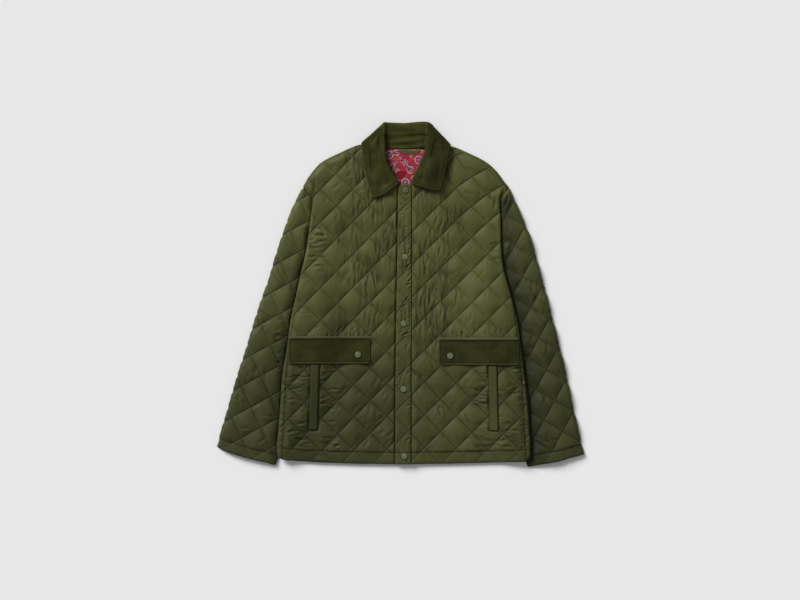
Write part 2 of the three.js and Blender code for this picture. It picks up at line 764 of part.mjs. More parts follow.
function boxSolid(left, right, low, high, bottom, top) {
  const box = new THREE.BoxGeometry(right - left, high - low, top - bottom);
  box.translate((left + right) / 2, (low + high) / 2, (bottom + top) / 2);
  return toSolid(box);
}

// The leaf is one shell, folded under along its outer edge and open towards the neck
function collarLeaf(cutter) {
  const area = { left: -95, right: 120, low: COLLAR_BACK_FOOT, high: 400 };
  const foldFloor = LEAF_WALL - 0.4;
  const whole = plainSlab(area, 1, 1, () => 0, () => leafTop)
    .intersect(rounded(COLLAR_BACK, () => 0, () => leafTop, 8));
  const overFace = plainSlab({ left: -34, right: 60, low: 320, high: 405 }, 1, 17, faceHeight, () => CLEAR);
  const underFace = plainSlab(
    { left: -36, right: 62, low: 320, high: 405 },
    1,
    17,
    () => foldFloor,
    (x, y) => Math.max(foldFloor + 0.5, faceHeight(x, y) - 3),
  );
  const fold = boxSolid(-100, -35, 300, 400, foldFloor, leafFloor)
    .add(boxSolid(61, 130, 300, 400, foldFloor, leafFloor))
    .add(underFace)
    .intersect(prism(COLLAR_FOLD, -CLEAR, CLEAR));
  const standSpace = boxSolid(-35, 61, 300, 357.7, foldFloor, CLEAR);
  return whole
    .subtract(fold)
    .subtract(overFace)
    .subtract(standSpace)
    .add(wing(WING_L, wingLiftL))
    .add(wing(WING_R, wingLiftR))
    .subtract(cutter);
}

// The stand leans back behind the neck and lies flat beneath the leaf on the two fronts
function collarStand() {
  const columns = [-60, -40, -29, 55, 66, 90];
  const rows = [230, 320, 327.6, 342, 380];
  const leaning = (x, y) => Math.min(clamp01((x + 40) / 11), clamp01((66 - x) / 11), clamp01((y - 320) / 7.6));
  const top = (x, y) => mix(standFloor + STAND_WALL, faceHeight(x, y), leaning(x, y));
  const bottom = (x, y) => mix(standFloor, faceHeight(x, y) - STAND_FACE_WALL, leaning(x, y));
  const place = (u, v) => ({
    x: columns[Math.round(u * (columns.length - 1))],
    y: rows[Math.round(v * (rows.length - 1))],
  });
  const block = slab(columns.length - 1, rows.length - 1, place, bottom, top);
  return block.intersect(prism(STAND_OUTLINE, -CLEAR, CLEAR));
}

function liningBack() {
  const low = BACK_WALL + SEAM_GAP;
  return prism(curve([...LINING_EDGE], 24).reverse(), low, low + LINING);
}

function hangerLoop() {
  const half = 3.2;
  const middleLine = curve(HANGER_LOOP, 12);
  const outline = [
    ...middleLine.map((p) => ({ x: p.x, y: p.y - half })),
    ...[...middleLine].reverse().map((p) => ({ x: p.x, y: Math.min(p.y + half, 327.2) })),
  ];
  const low = BACK_WALL + 2 * SEAM_GAP + LINING;
  return prism(outline, low, low + 1.4);
}

const pieces = [];
function keep(name, cloth, solid) {
  const bodies = solid.decompose().sort((a, b) => b.volume() - a.volume());
  pieces.push({ name, cloth, solid: bodies[0] });
}

const cutter = bodyCutter(SEAM_GAP);
const placketSnapSockets = PLACKET_SNAPS.map((s) => snapSocket(s.x, s.y, placketSeat));

keep('back', 'shell', backPanel());
let frontRight = frontPanel(quiltRight, frontRightOutline).subtract(placketCutter());
let frontLeft = frontPanel(quiltLeft, frontLeftOutline);
frontRight = frontRight.subtract(pocketWelt(HAND_POCKETS.pocket_welt_right, SEAM_GAP));
frontLeft = frontLeft.subtract(pocketWelt(HAND_POCKETS.pocket_welt_left, SEAM_GAP));
keep('front_right', 'shell', frontRight);
keep('front_left', 'shell', frontLeft);
let strip = placket();
for (const socket of placketSnapSockets) strip = strip.subtract(socket);
keep('placket', 'shell', strip);
keep('sleeve_right', 'shell', sleeve('L', QUILT.sleeveRight).subtract(cutter));
keep('sleeve_left', 'shell', sleeve('R', QUILT.sleeveLeft).subtract(cutter));
keep('collar_stand', 'corduroy', collarStand());
keep('collar_leaf', 'corduroy', collarLeaf(cutter));
keep('lining_back', 'paisley', liningBack());
keep('hanger_loop', 'shell', hangerLoop());
for (const [name, flap] of Object.entries(FLAPS)) {
  const seat = flapSeat(flap);
  keep(name, 'corduroy', pocketFlap(flap).subtract(snapSocket(flap.snapX, flap.snapY, seat)));
  keep(name.replace('flap', 'flap_snap'), 'snap', snapCap(flap.snapX, flap.snapY, seat));
}
for (const [name, jet] of Object.entries(JETS)) keep(name, 'shell', flapWelt(jet));
for (const [name, welt] of Object.entries(HAND_POCKETS)) keep(name, 'shell', pocketWelt(welt, 0));
PLACKET_SNAPS.forEach((s, i) => keep(`placket_snap_${i + 1}`, 'snap', snapCap(s.x, s.y, placketSeat)));

// Merges the two ends of an edge, unless the surface would then touch itself
function merged(faces, keepEnd, loseEnd) {
  const around = (v) => new Set(faces.filter((f) => f.includes(v)).flat());
  const shared = [...around(keepEnd)].filter((v) => around(loseEnd).has(v));
  if (shared.length !== 4) return null;
  return faces
    .filter((f) => !(f.includes(keepEnd) && f.includes(loseEnd)))
    .map((f) => f.map((v) => (v === loseEnd ? keepEnd : v)));
}

// Swaps the long side p-q of a flat triangle p, q, r for the line from r to the far corner
function swapped(faces, p, q, r) {
  const other = faces.find((f) => f.some((v, k) => v === q && f[(k + 1) % 3] === p));
  const s = other.find((v) => v !== p && v !== q);
  if (faces.some((f) => f.includes(r) && f.includes(s))) return null;
  const kept = faces.filter((f) => f !== other && !(f.includes(p) && f.includes(q) && f.includes(r)));
  return [...kept, [p, s, r], [s, q, r]];
}

// Clears away the very short edges and the flat triangles that cuts leave
function tidied(points, triangles) {
  let faces = triangles;
  const tried = new Set();
  const mend = () => {
    for (const face of faces) {
      const sides = face.map((v, k) => ({ p: v, q: face[(k + 1) % 3], r: face[(k + 2) % 3] }));
      const longest = sides.map((e) => points[e.p].distanceTo(points[e.q]));
      const short = sides[longest.indexOf(Math.min(...longest))];
      const long = sides[longest.indexOf(Math.max(...longest))];
      const name = `${face}`;
      if (tried.has(name)) continue;
      const area = new THREE.Triangle(...face.map((v) => points[v])).getArea();
      let next = null;
      if (Math.min(...longest) < SHORT_EDGE) next = merged(faces, short.p, short.q);
      else if (2 * area / Math.max(...longest) < FLAT_TRIANGLE) next = swapped(faces, long.p, long.q, long.r);
      else continue;
      tried.add(name);
      if (next) {
        faces = next;
        return true;
      }
    }
    return false;
  };
  while (mend());
  return faces;
}

// A mesh from a solid
function meshOf({ name, cloth, solid }) {
  const { vertProperties, triVerts } = solid.getMesh();
  const points = Array.from({ length: vertProperties.length / 3 }, (_, i) => (
    new THREE.Vector3().fromArray(vertProperties, 3 * i)
  ));
  const triangles = Array.from({ length: triVerts.length / 3 }, (_, i) => (
    [triVerts[3 * i], triVerts[3 * i + 1], triVerts[3 * i + 2]]
  ));
  const faces = tidied(points, triangles);
  const geometry = new THREE.BufferGeometry();
  geometry.setAttribute('position', new THREE.BufferAttribute(new Float32Array(vertProperties), 3));
  geometry.setIndex(new THREE.BufferAttribute(new Uint32Array(faces.flat()), 1));
  geometry.computeVertexNormals();
  const mesh = new THREE.Mesh(geometry, new THREE.MeshStandardMaterial(CLOTH[cloth]));
  mesh.name = name;
  return mesh;
}

const group = new THREE.Group();
for (const piece of pieces) group.add(meshOf(piece));
group.position.set(TO_CENTRE.x, TO_CENTRE.y, 0);

export default group;
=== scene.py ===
import json
import math
import bpy
import numpy as np
from mathutils import Matrix


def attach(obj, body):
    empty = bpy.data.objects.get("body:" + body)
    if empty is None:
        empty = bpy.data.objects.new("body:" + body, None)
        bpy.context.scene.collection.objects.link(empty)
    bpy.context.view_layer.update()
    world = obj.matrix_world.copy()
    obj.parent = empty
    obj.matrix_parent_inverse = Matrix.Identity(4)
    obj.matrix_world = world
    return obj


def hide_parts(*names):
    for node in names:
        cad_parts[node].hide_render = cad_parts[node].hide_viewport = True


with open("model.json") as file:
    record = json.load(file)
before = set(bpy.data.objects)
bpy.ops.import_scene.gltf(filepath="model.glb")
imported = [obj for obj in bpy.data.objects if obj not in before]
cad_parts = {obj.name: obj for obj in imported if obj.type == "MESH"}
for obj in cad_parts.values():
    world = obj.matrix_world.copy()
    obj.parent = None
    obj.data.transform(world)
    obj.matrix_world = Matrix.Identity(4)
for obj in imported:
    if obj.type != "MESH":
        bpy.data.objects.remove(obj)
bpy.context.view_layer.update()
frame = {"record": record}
bpy.ops.object.select_all(action="DESELECT")
print("frame loaded")

# The jacket is laid out in millimetres: x towards the wearer's left, y towards the collar, z up.
# Each mesh is moved by this and scaled to metres when it is made.
layout = {"moveX": -1.0, "moveY": 0.5}

body = {
    "backWall": 4.0, "frontFloor": 5.6, "seamTop": 8.2, "puff": 4.6, "seamSoft": 0.012, "bandPuff": 0.35,
    "hemBand": 26, "sideLift": 8.5, "liftRun": 65, "hemStitchDepth": 1.9, "hemShade": 0.6, "armholeRoll": 1.2,
}
sectionNames = ("y", "bodyL", "bodyR", "seamL", "seamR", "tuckL", "tuckR", "outerL", "outerR")
sectionRows = np.array([
    (240, -220, 247, -230, 256, -186, 211, -220, 247),
    (215, -197, 226, -230, 256, -180, 205, -234, 258),
    (186, -200, 227, -230, 256, -180, 205, -247, 271),
    (149, -205, 228, -230, 256, -184, 207, -261, 287),
    (104, -211, 229, -225, 245, -192, 209, -276, 303),
    (73, -217, 231, -220, 236, -197, 208, -286, 311),
    (43, -225, 237, -221, 234, -194, 205, -294, 319),
    (-7, -235, 251, -229, 247, -183, 193, -312, 333),
    (-56, -246, 264, -238, 259, -179, 189, -328, 345),
    (-122, -255, 273, -249, 268, -188, 197, -348, 362),
    (-190, -266, 282, -255, 274, -205, 211, -370, 378),
    (-253, -270, 289, -258, 278, -225, 231, -388, 391),
    (-314, -275, 293, -261, 281, -250, 255, -406, 405),
    (-346, -278, 295, -263, 283, -263, 271, -414, 412),
    (-368, -276, 294, -264, 284, -274, 281, -420, 417),
], float)
shoulderL = [(-208, 262), (-191, 284), (-175, 299), (-142, 316), (-88, 338), (-57, 327.3)]
shoulderR = [(234, 255), (217, 278), (196, 297), (162, 315), (114, 334), (81, 327.3)]
hem = [(-264, -373), (-249, -375), (-181, -380), (-90, -383), (0, -384), (90, -383), (181, -381), (280, -378)]
cuffL = [(-414, -345), (-390, -356), (-360, -366), (-327, -375), (-303, -380), (-281, -387)]
cuffR = [(416, -362), (384, -370), (357, -378), (305, -387), (289, -391)]
neckL = [(-54, 328), (-52, 310), (-43, 285), (-25, 262), (-1, 250)]
neckR = [(26, 247), (47, 262), (66, 285), (75, 310), (77, 328)]

# One crossing of the stitch lines on each panel, the angles of the lines and their spacing
quilts = {
    "frontRight": {"x": -142, "y": -22, "rise": 45.8, "fall": 43.8, "risePitch": 51.6, "fallPitch": 52.8},
    "frontLeft": {"x": 91, "y": -17, "rise": 45.0, "fall": 46.4, "risePitch": 52.0, "fallPitch": 50.5},
    "sleeveRight": {"x": -292, "y": -231, "rise": 28.5, "fall": 64.7, "risePitch": 51.2, "fallPitch": 49.9},
    "sleeveLeft": {"x": 349, "y": -240, "rise": 61.3, "fall": 30.5, "risePitch": 49.4, "fallPitch": 50.8},
}


def smooth(t):
    t = np.clip(t, 0, 1)
    return t * t * (3 - 2 * t)


def mix(a, b, t):
    return a + (b - a) * t


def ridge(t):
    return np.exp(-t ** 2)


def smoothTable(places, values, at):
    order = np.argsort(places)
    p, v = np.array(places, float)[order], np.array(values, float)[order]
    slope = np.diff(v) / np.diff(p)
    product = slope[:-1] * slope[1:]
    inner = np.where(product > 0, 2 * product / np.where(product > 0, slope[:-1] + slope[1:], 1), 0)
    tangent = np.concatenate([slope[:1], inner, slope[-1:]])
    i = np.clip(np.searchsorted(p, at) - 1, 0, len(p) - 2)
    step = p[i + 1] - p[i]
    t = np.clip((at - p[i]) / step, 0, 1)
    return mix(v[i], v[i + 1], t * t * (3 - 2 * t)) + step * (
        t * (1 - t) ** 2 * tangent[i] - t * t * (1 - t) * tangent[i + 1])


def heightAt(line, x):
    return smoothTable(*zip(*line), x)


def section(name, y):
    return smoothTable(sectionRows[:, 0], sectionRows[:, sectionNames.index(name)], y)


def edge(name, start, end, steps):
    y = np.linspace(start, end, steps + 1)
    return list(zip(section(name, y), y))


# Smooth curve through given points
def curve(points, pieces):
    p = np.array(points, float)
    line = []
    for k in range(pieces + 1):
        at = k * (len(p) - 1) / pieces
        i = min(int(at), len(p) - 2)
        t = at - i
        a, b, c, d = p[max(i - 1, 0)], p[i], p[i + 1], p[min(i + 2, len(p) - 1)]
        line.append(tuple(0.5 * ((2 * b) + (c - a) * t + (2 * a - 5 * b + 4 * c - d) * t * t
                                 + (3 * b - a - 3 * c + d) * t ** 3)))
    return line


def insideOf(outline, x, y):
    inside = np.zeros(x.shape, bool)
    for (ax, ay), (bx, by) in zip(outline, np.roll(outline, -1, 0)):
        if ay != by:
            inside ^= ((ay > y) != (by > y)) & (x < (bx - ax) * (y - ay) / (by - ay) + ax)
    return inside


def nearest(line, x, y, closed=False):
    best = np.full(x.shape, 1e9)
    nearX, nearY = x.copy(), y.copy()
    ends = np.roll(line, -1, 0) if closed else line[1:]
    for (ax, ay), (bx, by) in zip(line, ends):
        dx, dy = bx - ax, by - ay
        t = np.clip(((x - ax) * dx + (y - ay) * dy) / max(dx * dx + dy * dy, 1e-9), 0, 1)
        px, py = ax + t * dx, ay + t * dy
        d = np.hypot(x - px, y - py)
        closer = d < best
        best = np.where(closer, d, best)
        nearX, nearY = np.where(closer, px, nearX), np.where(closer, py, nearY)
    return best, nearX, nearY


# Distance in from an outline, negative outside it, and the nearest point on it
def distanceIn(outline, x, y):
    best, nearX, nearY = nearest(outline, x, y, True)
    return np.where(insideOf(outline, x, y), best, -best), nearX, nearY


# How fine each cloth's grid is, in mm
meshStep = {"back": 2.75, "front": 2.0, "sleeve": 2.4, "placket": 1.6, "stand": 1.6, "leaf": 1.5,
            "pocket": 1.4, "trim": 0.9}
clothGrid = {"outside": 0.45, "passes": 4, "lipRound": 3, "slitGrows": 10, "slitShare": 0.2}


def allCorners(mask):
    return mask[:-1, :-1] & mask[1:, :-1] & mask[1:, 1:] & mask[:-1, 1:]


def cellsAround(cell):
    around = np.zeros((cell.shape[0] + 1, cell.shape[1] + 1), int)
    for i in (0, 1):
        for j in (0, 1):
            around[i:i + cell.shape[0], j:j + cell.shape[1]] += cell
    return around


# A grid's cells inside an outline. Points on its rim are moved onto the outline itself.
def gridInside(outline, step):
    low, high = outline.min(0) - step, outline.max(0) + step
    x, y = np.meshgrid(np.arange(low[0], high[0] + step, step), np.arange(low[1], high[1] + step, step),
                       indexing="ij")
    depth, nearX, nearY = distanceIn(outline, x, y)
    cell = allCorners(depth > -clothGrid["outside"] * step)
    for turn in range(clothGrid["passes"]):
        around = cellsAround(cell)
        rim = (around > 0) & (around < 4)
        loose = cell & allCorners(rim)
        if not loose.any():
            break
        cell &= ~loose
    x, y = np.where(rim, nearX, x), np.where(rim, nearY, y)
    return x, y, np.where(rim, 0, np.maximum(depth, 0)), cell, around


def roundOver(t):
    return np.sqrt(1 - (1 - np.clip(t, 0, 1)) ** 2)


# The heights of the top and the underside, and of the roof and the floor of a tube's slit
def surfaceHeights(top, under, depth, rounding, closing, wide, gap):
    bulge, lip = roundOver(depth / rounding), roundOver(depth / clothGrid["lipRound"])
    apart = smooth(wide / clothGrid["slitGrows"])
    half = np.minimum(gap / 2, clothGrid["slitShare"] * (top - under)) * apart
    closed, middle = mix(under, top, closing), (top + under) / 2
    roof, base = middle + half, middle - half
    upper, lower = (top + roof) / 2, (under + base) / 2
    return (mix(mix(closed, top, bulge), mix(upper, top, lip), apart),
            mix(mix(closed, under, bulge), mix(lower, under, lip), apart),
            mix(roof, mix(upper, roof, lip), apart),
            mix(base, mix(lower, base, lip), apart))


def numbered(masks):
    numbers, made = [], 0
    for mask in masks:
        order = -np.ones(mask.shape, int)
        order[mask] = made + np.arange(mask.sum())
        numbers.append(order)
        made += mask.sum()
    return numbers


def meshOf(name, points, faces):
    mesh = bpy.data.meshes.new(name)
    mesh.vertices.add(len(points))
    mesh.vertices.foreach_set("co", points.ravel())
    mesh.loops.add(faces.size)
    mesh.loops.foreach_set("vertex_index", faces.ravel())
    mesh.polygons.add(len(faces))
    mesh.polygons.foreach_set("loop_start", np.arange(0, faces.size, 4))
    mesh.update(calc_edges=True)
    mesh.validate()
    mesh.polygons.foreach_set("use_smooth", np.ones(len(mesh.polygons), bool))
    return mesh


# A closed shell of cloth over an outline. heights gives, at points and their distance in from
# the edge, the top, the underside, how wide the edge rounds over and where between them it closes.
# uv gives the count of stitch lines, and tones how far they show and how much lighter or darker the
# cloth is. slit is for a tube: how far each point is inside the slit, and how high the slit is there.
def clothMesh(name, outline, step, heights, uv=None, tones=None, slit=None):
    x, y, depth, cell, around = gridInside(np.array(outline, float), step)
    used, inner = around > 0, around == 4
    wide, gap = slit(x, y) if slit else (-1 + 0 * x, 0 * x)
    hollow = cell & allCorners(wide > 0)
    hollowAround = cellsAround(hollow)
    mouth = used & ~inner & (hollowAround == around)
    top, under, rounding, closing = heights(x, y, depth)
    levels = surfaceHeights(top, under, depth, rounding, closing, wide, gap)
    masks = [used, inner | mouth, (hollowAround > 0) & inner, hollowAround == 4]
    onTop, onUnder, onRoof, onBase = numbered(masks)
    onUnder = np.where(onUnder < 0, onTop, onUnder)
    onRoof = np.where(onRoof < 0, onTop, onRoof)
    onBase = np.where(onBase >= 0, onBase, np.where(mouth, onUnder, onRoof))

    def spread(*fields):
        return np.concatenate([np.stack([field[mask] for field in fields], 1) for mask in masks])

    points = np.concatenate([np.stack([x[mask], y[mask], z[mask]], 1) for mask, z in zip(masks, levels)])
    faces = []
    sides = ((cell, onTop, 1), (cell, onUnder, -1), (hollow, onRoof, -1), (hollow, onBase, 1))
    for cells, order, turned in sides:
        i, j = np.nonzero(cells)
        corners = [(i, j), (i + 1, j), (i + 1, j + 1), (i, j + 1)]
        faces.append(np.stack([order[c] for c in corners[::turned]], 1))
    mesh = meshOf(name, (points + (layout["moveX"], layout["moveY"], 0)) / 1000, np.concatenate(faces))
    painted = tones(x, y, depth) if tones else (float(uv is not None), 0.0)
    for label, value in zip(("quilting", "tone"), painted):
        layer = mesh.attributes.new(name=label, type="FLOAT", domain="POINT")
        layer.data.foreach_set("value", spread(value + 0 * x).ravel())
    if uv:
        corner = np.empty(len(mesh.loops), int)
        mesh.loops.foreach_get("vertex_index", corner)
        mesh.uv_layers.new(name="quilt").uv.foreach_set("vector", spread(*uv(x, y))[corner].ravel())
    piece = bpy.data.objects.new(name, mesh)
    bpy.context.collection.objects.link(piece)
    return piece


def outlineSize(outline):
    p = np.array(outline, float)
    q = np.roll(p, -1, 0)
    area = abs((p[:, 0] * q[:, 1] - q[:, 0] * p[:, 1]).sum()) / 2e6
    return tuple((p.max(0) - p.min(0)) / 1000), area


# Stitch lines: a counts the lines that climb to the right, b those that drop to the right
def lattice(quilt, x, y):
    rise, fall = math.radians(quilt["rise"]), math.radians(quilt["fall"])
    dx, dy = x - quilt["x"], y - quilt["y"]
    return ((math.sin(rise) * dx - math.cos(rise) * dy) / quilt["risePitch"],
            (math.sin(fall) * dx + math.cos(fall) * dy) / quilt["fallPitch"])


def sagged(x, y):
    return y + 0.35 * np.maximum(0, x - 124) * np.maximum(0, (y - 134) / 147) ** 1.5


def scatter(a, b, seed):
    value = np.sin(a * 12.9898 + b * 78.233 + seed) * 43758.5453
    return value - np.floor(value)


# From 0 on a line of stitching to 1 halfway to the next
def pillow(count):
    soft = body["seamSoft"]
    least, most = soft ** 0.25, (1 + soft) ** 0.25
    return ((np.sin(math.pi * count) ** 2 + soft) ** 0.25 - least) / (most - least)


def puffOf(a, b):
    puff = pillow(a) * pillow(b)
    cellA, cellB = np.floor(a), np.floor(b)
    high = 0.86 + 0.2 * scatter(cellA, cellB, 1)
    lean = 1 + 0.3 * (scatter(cellA, cellB, 2) - 0.5) * (a - cellA - 0.5)
    return puff * high * (lean + 0.3 * (scatter(cellA, cellB, 3) - 0.5) * (b - cellB - 0.5))


# Creases, given one by one: ends, depth (below 0 is a trough) and half width
creases = [
    (-191, 268, -194, 217, -2.6, 3.2), (-205, 240, -190, 212, -1.8, 3.0), (-212, 226, -188, 219, -1.6, 2.8),
    (-199, 247, -206, 214, 1.2, 3.0), (-196, 150, -170, 146, -1.5, 3.0), (-199, 132, -166, 134, -1.8, 3.4),
    (-204, 117, -174, 114, -1.4, 3.0), (-205, 103, -178, 107, -1.6, 3.2), (-209, 88, -170, 84, -1.4, 3.6),
    (-186, 156, -168, 137, -1.6, 2.6), (-190, 148, -176, 131, 1.2, 2.6),
    (237, 241, 226, 212, -3.2, 3.6), (245, 232, 235, 190, -3.2, 3.6), (231, 216, 219, 178, -2.0, 3.6),
    (252, 222, 243, 182, -2.4, 3.4), (238, 172, 247, 140, -2.6, 3.6), (218, 224, 210, 190, -1.6, 3.2),
    (243, 140, 249, 115, 2.2, 4.4), (249, 116, 239, 100, 2.0, 4.4), (240, 100, 233, 82, 1.6, 4.0),
    (226, 116, 200, 112, -1.5, 3.2), (227, 98, 203, 95, -1.4, 3.0), (228, 82, 198, 74, -1.6, 3.4),
    (1, -205, 4, -178, -1.4, 2.2), (4, -178, 14, -168, -1.4, 2.2),
    (-296, -272, -284, -283, -1.6, 3.0), (-310, -267, -292, -280, -1.4, 3.4),
    (-361, -299, -338, -303, -1.6, 3.2), (-300, -300, -286, -306, -1.3, 3.0),
    (318, -327, 342, -338, -1.5, 3.2), (338, -325, 361, -333, -1.3, 3.0), (300, -318, 316, -330, -1.3, 3.0),
]
# Fields of short ripples: left, right, low and high, how many, the way they run and how far that
# spreads in degrees, shortest, longest, depth and half width
rippleFields = [
    (-106, -14, -95, 216, 52, 88, 8, 22, 48, 0.9, 2.5),
    (-185, -100, -90, 200, 18, 84, 25, 12, 30, 0.5, 3.6),
    (32, 118, -104, 236, 52, 88, 8, 22, 48, 0.9, 2.5),
    (118, 210, -95, 200, 18, 80, 25, 12, 30, 0.5, 3.6),
    (-256, -207, -345, -162, 34, -4, 12, 12, 34, 1.0, 2.6),
    (-183, -140, -345, -165, 26, 6, 16, 12, 32, 1.0, 2.6),
    (-140, -14, -345, -165, 26, 55, 30, 12, 34, 0.8, 3.2),
    (222, 278, -348, -166, 30, 4, 12, 12, 36, 1.0, 2.6),
    (160, 202, -345, -168, 20, -6, 16, 12, 30, 0.9, 2.6),
    (34, 160, -345, -165, 26, -50, 30, 12, 34, 0.75, 3.2),
    (-190, -70, -94, -74, 14, 70, 16, 9, 18, 1.0, 2.4),
    (90, 262, -97, -77, 16, 105, 16, 9, 18, 1.0, 2.4),
    (13, 22, -100, 75, 22, 46, 14, 10, 20, 1.0, 2.0),
    (14, 22, 75, 225, 14, 42, 20, 8, 15, 0.7, 2.0),
    (13, 22, -340, -110, 18, 44, 26, 8, 15, 0.7, 2.0),
    (-6, 4, -340, 225, 22, 20, 40, 7, 13, 0.5, 2.0),
    (-210, -172, 60, 150, 14, 4, 14, 14, 34, 0.9, 2.8),
    (-275, -205, -330, 40, 26, -8, 26, 12, 28, 0.7, 2.8),
    (-385, -290, -330, 60, 34, 60, 40, 14, 40, 0.6, 3.6),
    (290, 390, -330, 60, 34, -60, 40, 14, 40, 0.6, 3.6),
    (-278, -262, -350, -60, 26, 10, 24, 8, 17, 0.8, 3.2),
    (283, 296, -350, -60, 24, -10, 24, 8, 17, 0.5, 3.6),
    (-180, -60, 215, 310, 16, 70, 40, 14, 34, 0.5, 4.0),
    (110, 215, 200, 310, 16, 110, 40, 14, 34, 0.5, 4.0),
]
# A ripple is a trough between two banks, which stand bank half widths from it
rippleShape = {"trough": -1.9, "deepSpread": (0.5, 1.25), "wideSpread": (0.8, 1.3), "bend": 1.5,
               "bank": 1.9, "rightBank": 0.55, "leftBank": 0.25, "margin": 8, "reach": 12}


def rippleRows():
    dice = np.random.default_rng(7)
    rows = []
    for left, right, low, high, count, heading, spread, shortest, longest, deep, wide in rippleFields:
        for k in range(count):
            x, y = dice.uniform(left, right), dice.uniform(low, high)
            turn = math.radians(heading + spread * dice.uniform(-1, 1))
            half = dice.uniform(shortest, longest) / 2
            dx, dy = half * math.cos(turn), half * math.sin(turn)
            trough = rippleShape["trough"] * deep * dice.uniform(*rippleShape["deepSpread"])
            halfWidth = wide * dice.uniform(*rippleShape["wideSpread"])
            rows.append((x - dx, y - dy, x + dx, y + dy, trough, halfWidth))
    return rows


allCreases = creases + rippleRows()


def between(x, low, high, reach):
    return (x > low - reach) & (x < high + reach)


def creaseHeight(x, y):
    height = np.zeros(x.shape)
    margin, reach = rippleShape["margin"], rippleShape["reach"]
    left, right, low, high = x.min() - margin, x.max() + margin, y.min() - margin, y.max() + margin
    for ax, ay, bx, by, deep, wide in allCreases:
        if max(ax, bx) < left or min(ax, bx) > right or max(ay, by) < low or min(ay, by) > high:
            continue
        near = between(x, min(ax, bx), max(ax, bx), reach) & between(y, min(ay, by), max(ay, by), reach)
        if not near.any():
            continue
        dx, dy = bx - ax, by - ay
        size = math.hypot(dx, dy)
        px, py = x[near] - ax, y[near] - ay
        along = (px * dx + py * dy) / size ** 2
        bend = rippleShape["bend"] * np.sin(along * 4 + ax)
        across = ((px * dy - py * dx) / size + bend) / wide
        taper = np.clip(1 - (2 * along - 1) ** 2, 0, 1)
        rightBank = rippleShape["rightBank"] * ridge(across - rippleShape["bank"])
        leftBank = rippleShape["leftBank"] * ridge(across + rippleShape["bank"])
        height[near] += deep * taper * (ridge(across) - rightBank - leftBank)
    return height


def lift(x, y):
    left = 1 - smooth((x - section("tuckL", y) - 2) / body["liftRun"])
    right = 1 - smooth((section("tuckR", y) - x - 2) / body["liftRun"])
    return body["sideLift"] * np.maximum(left, right) * smooth((155 - y) / 115)


def hemLine(x):
    return heightAt(hem, x) + body["hemBand"]


# How far the quilting rises above a band's line of stitching
def bandRelief(y, line):
    return smooth((y - line + 6) / 12)


shoulderLineL, shoulderLineR = curve(shoulderL, 24), curve(shoulderR[::-1], 24)
bodyOutline = np.array(edge("bodyL", -368, 240, 40) + shoulderLineL + shoulderLineR
                       + edge("bodyR", 240, -368, 40) + hem[::-1])
seamShoulderL = [(x + 1, y - 5) for x, y in shoulderLineL[:-1]]
seamShoulderR = [(x - 1, y - 5) for x, y in shoulderLineR[1:]]


# Each side seam runs up to the body's edge above the pocket, where least is how far in it stays
def sideSeam(side, inward, start, end, least):
    y = np.linspace(start, end, 35)
    rim = section(f"body{side}", y)
    inset = mix(least, inward * (section(f"seam{side}", y) - rim), smooth((-10 - y) / 50))
    return list(zip(rim + inward * np.maximum(inset, least), y))


seamL, seamR = sideSeam("L", 1, -366, 232, 0.3), sideSeam("R", -1, 232, -368, 0.3)
coverL, coverR = sideSeam("L", 1, -366, 232, -5), sideSeam("R", -1, 232, -368, -5)
sideL = [(-264, -373.4)] + seamL + [(-217, 240)] + seamShoulderL
sideR = seamShoulderR + [(243, 239)] + seamR + [(284, -377.8)]
hemHeight = {x: y for x, y in hem}
frontRightOutline = sideL + curve(neckL, 16) + [(24, 246), (24, -383.9)] + [
    (x, hemHeight[x]) for x in (0, -90, -181, -249)]
frontLeftOutline = [(25.6, -383.9), (26.6, 100), (26.6, 246)] + curve(neckR, 16) + sideR + [
    (x, hemHeight[x]) for x in (181, 90)]
facingOutline = np.array([(-264, -420)] + coverL + [(-217, 240)] + seamShoulderL + [(-54, 345), (77, 345)]
                         + seamShoulderR + [(243, 239)] + coverR + [(284, -420)])
print("outlines ready")

placketShape = {
    "floor": 8.9, "wall": 2.6, "puff": 2.0, "edgeRound": 2.2, "shadowGap": 3.0, "overRise": 2.2,
    "creases": 0.8, "hemStitch": 1.4, "snapTop": 3.1, "curl": 1.6, "edgeShade": 0.3, "snapShade": 0.7,
}
placketEdge = [(250, -3, 26), (244, -4, 26), (100, -6, 26), (-13, -8, 26), (-149, -10, 25), (-384, -11, 25)]
placketY = np.linspace(240, -384, 40)
placketLeft = smoothTable(*zip(*[(y, left) for y, left, right in placketEdge]), placketY)
placketRight = smoothTable(*zip(*[(y, right) for y, left, right in placketEdge]), placketY)
placketSides = list(zip(placketLeft, placketY)) + list(zip(placketRight, placketY))[::-1]
placketOutline = np.array([(0, 248)] + placketSides + [(26, 247), (16, 249)])
placketSnaps = [(12, 235), (11, 84), (8, -66), (8, -214), (10, -365)]

flapShapes = {
    "flap_right": {"left": -251, "right": -66, "top": -101, "bottom": -157, "round": -1, "snap": (-95, -136)},
    "flap_left": {"left": 87, "right": 267, "top": -104, "bottom": -160, "round": 1, "snap": (113, -139)},
}
flapWelts = {"flap_welt_right": (-249, -67, -100.4, -95), "flap_welt_left": (88, 266, -103.4, -98)}
pocketWelts = {
    "pocket_welt_right": {"top": (-191, -158), "foot": (-195.5, -306), "wide": 19},
    "pocket_welt_left": {"top": (208.5, -161), "foot": (212, -308), "wide": 19},
}


def weltOutline(welt):
    half = welt["wide"] / 2
    (tx, ty), (fx, fy) = welt["top"], welt["foot"]
    return np.array([(fx - half, fy), (fx + half, fy), (tx + half, ty), (tx - half, ty)])


def hemRelief(x, y):
    return bandRelief(y, hemLine(x))


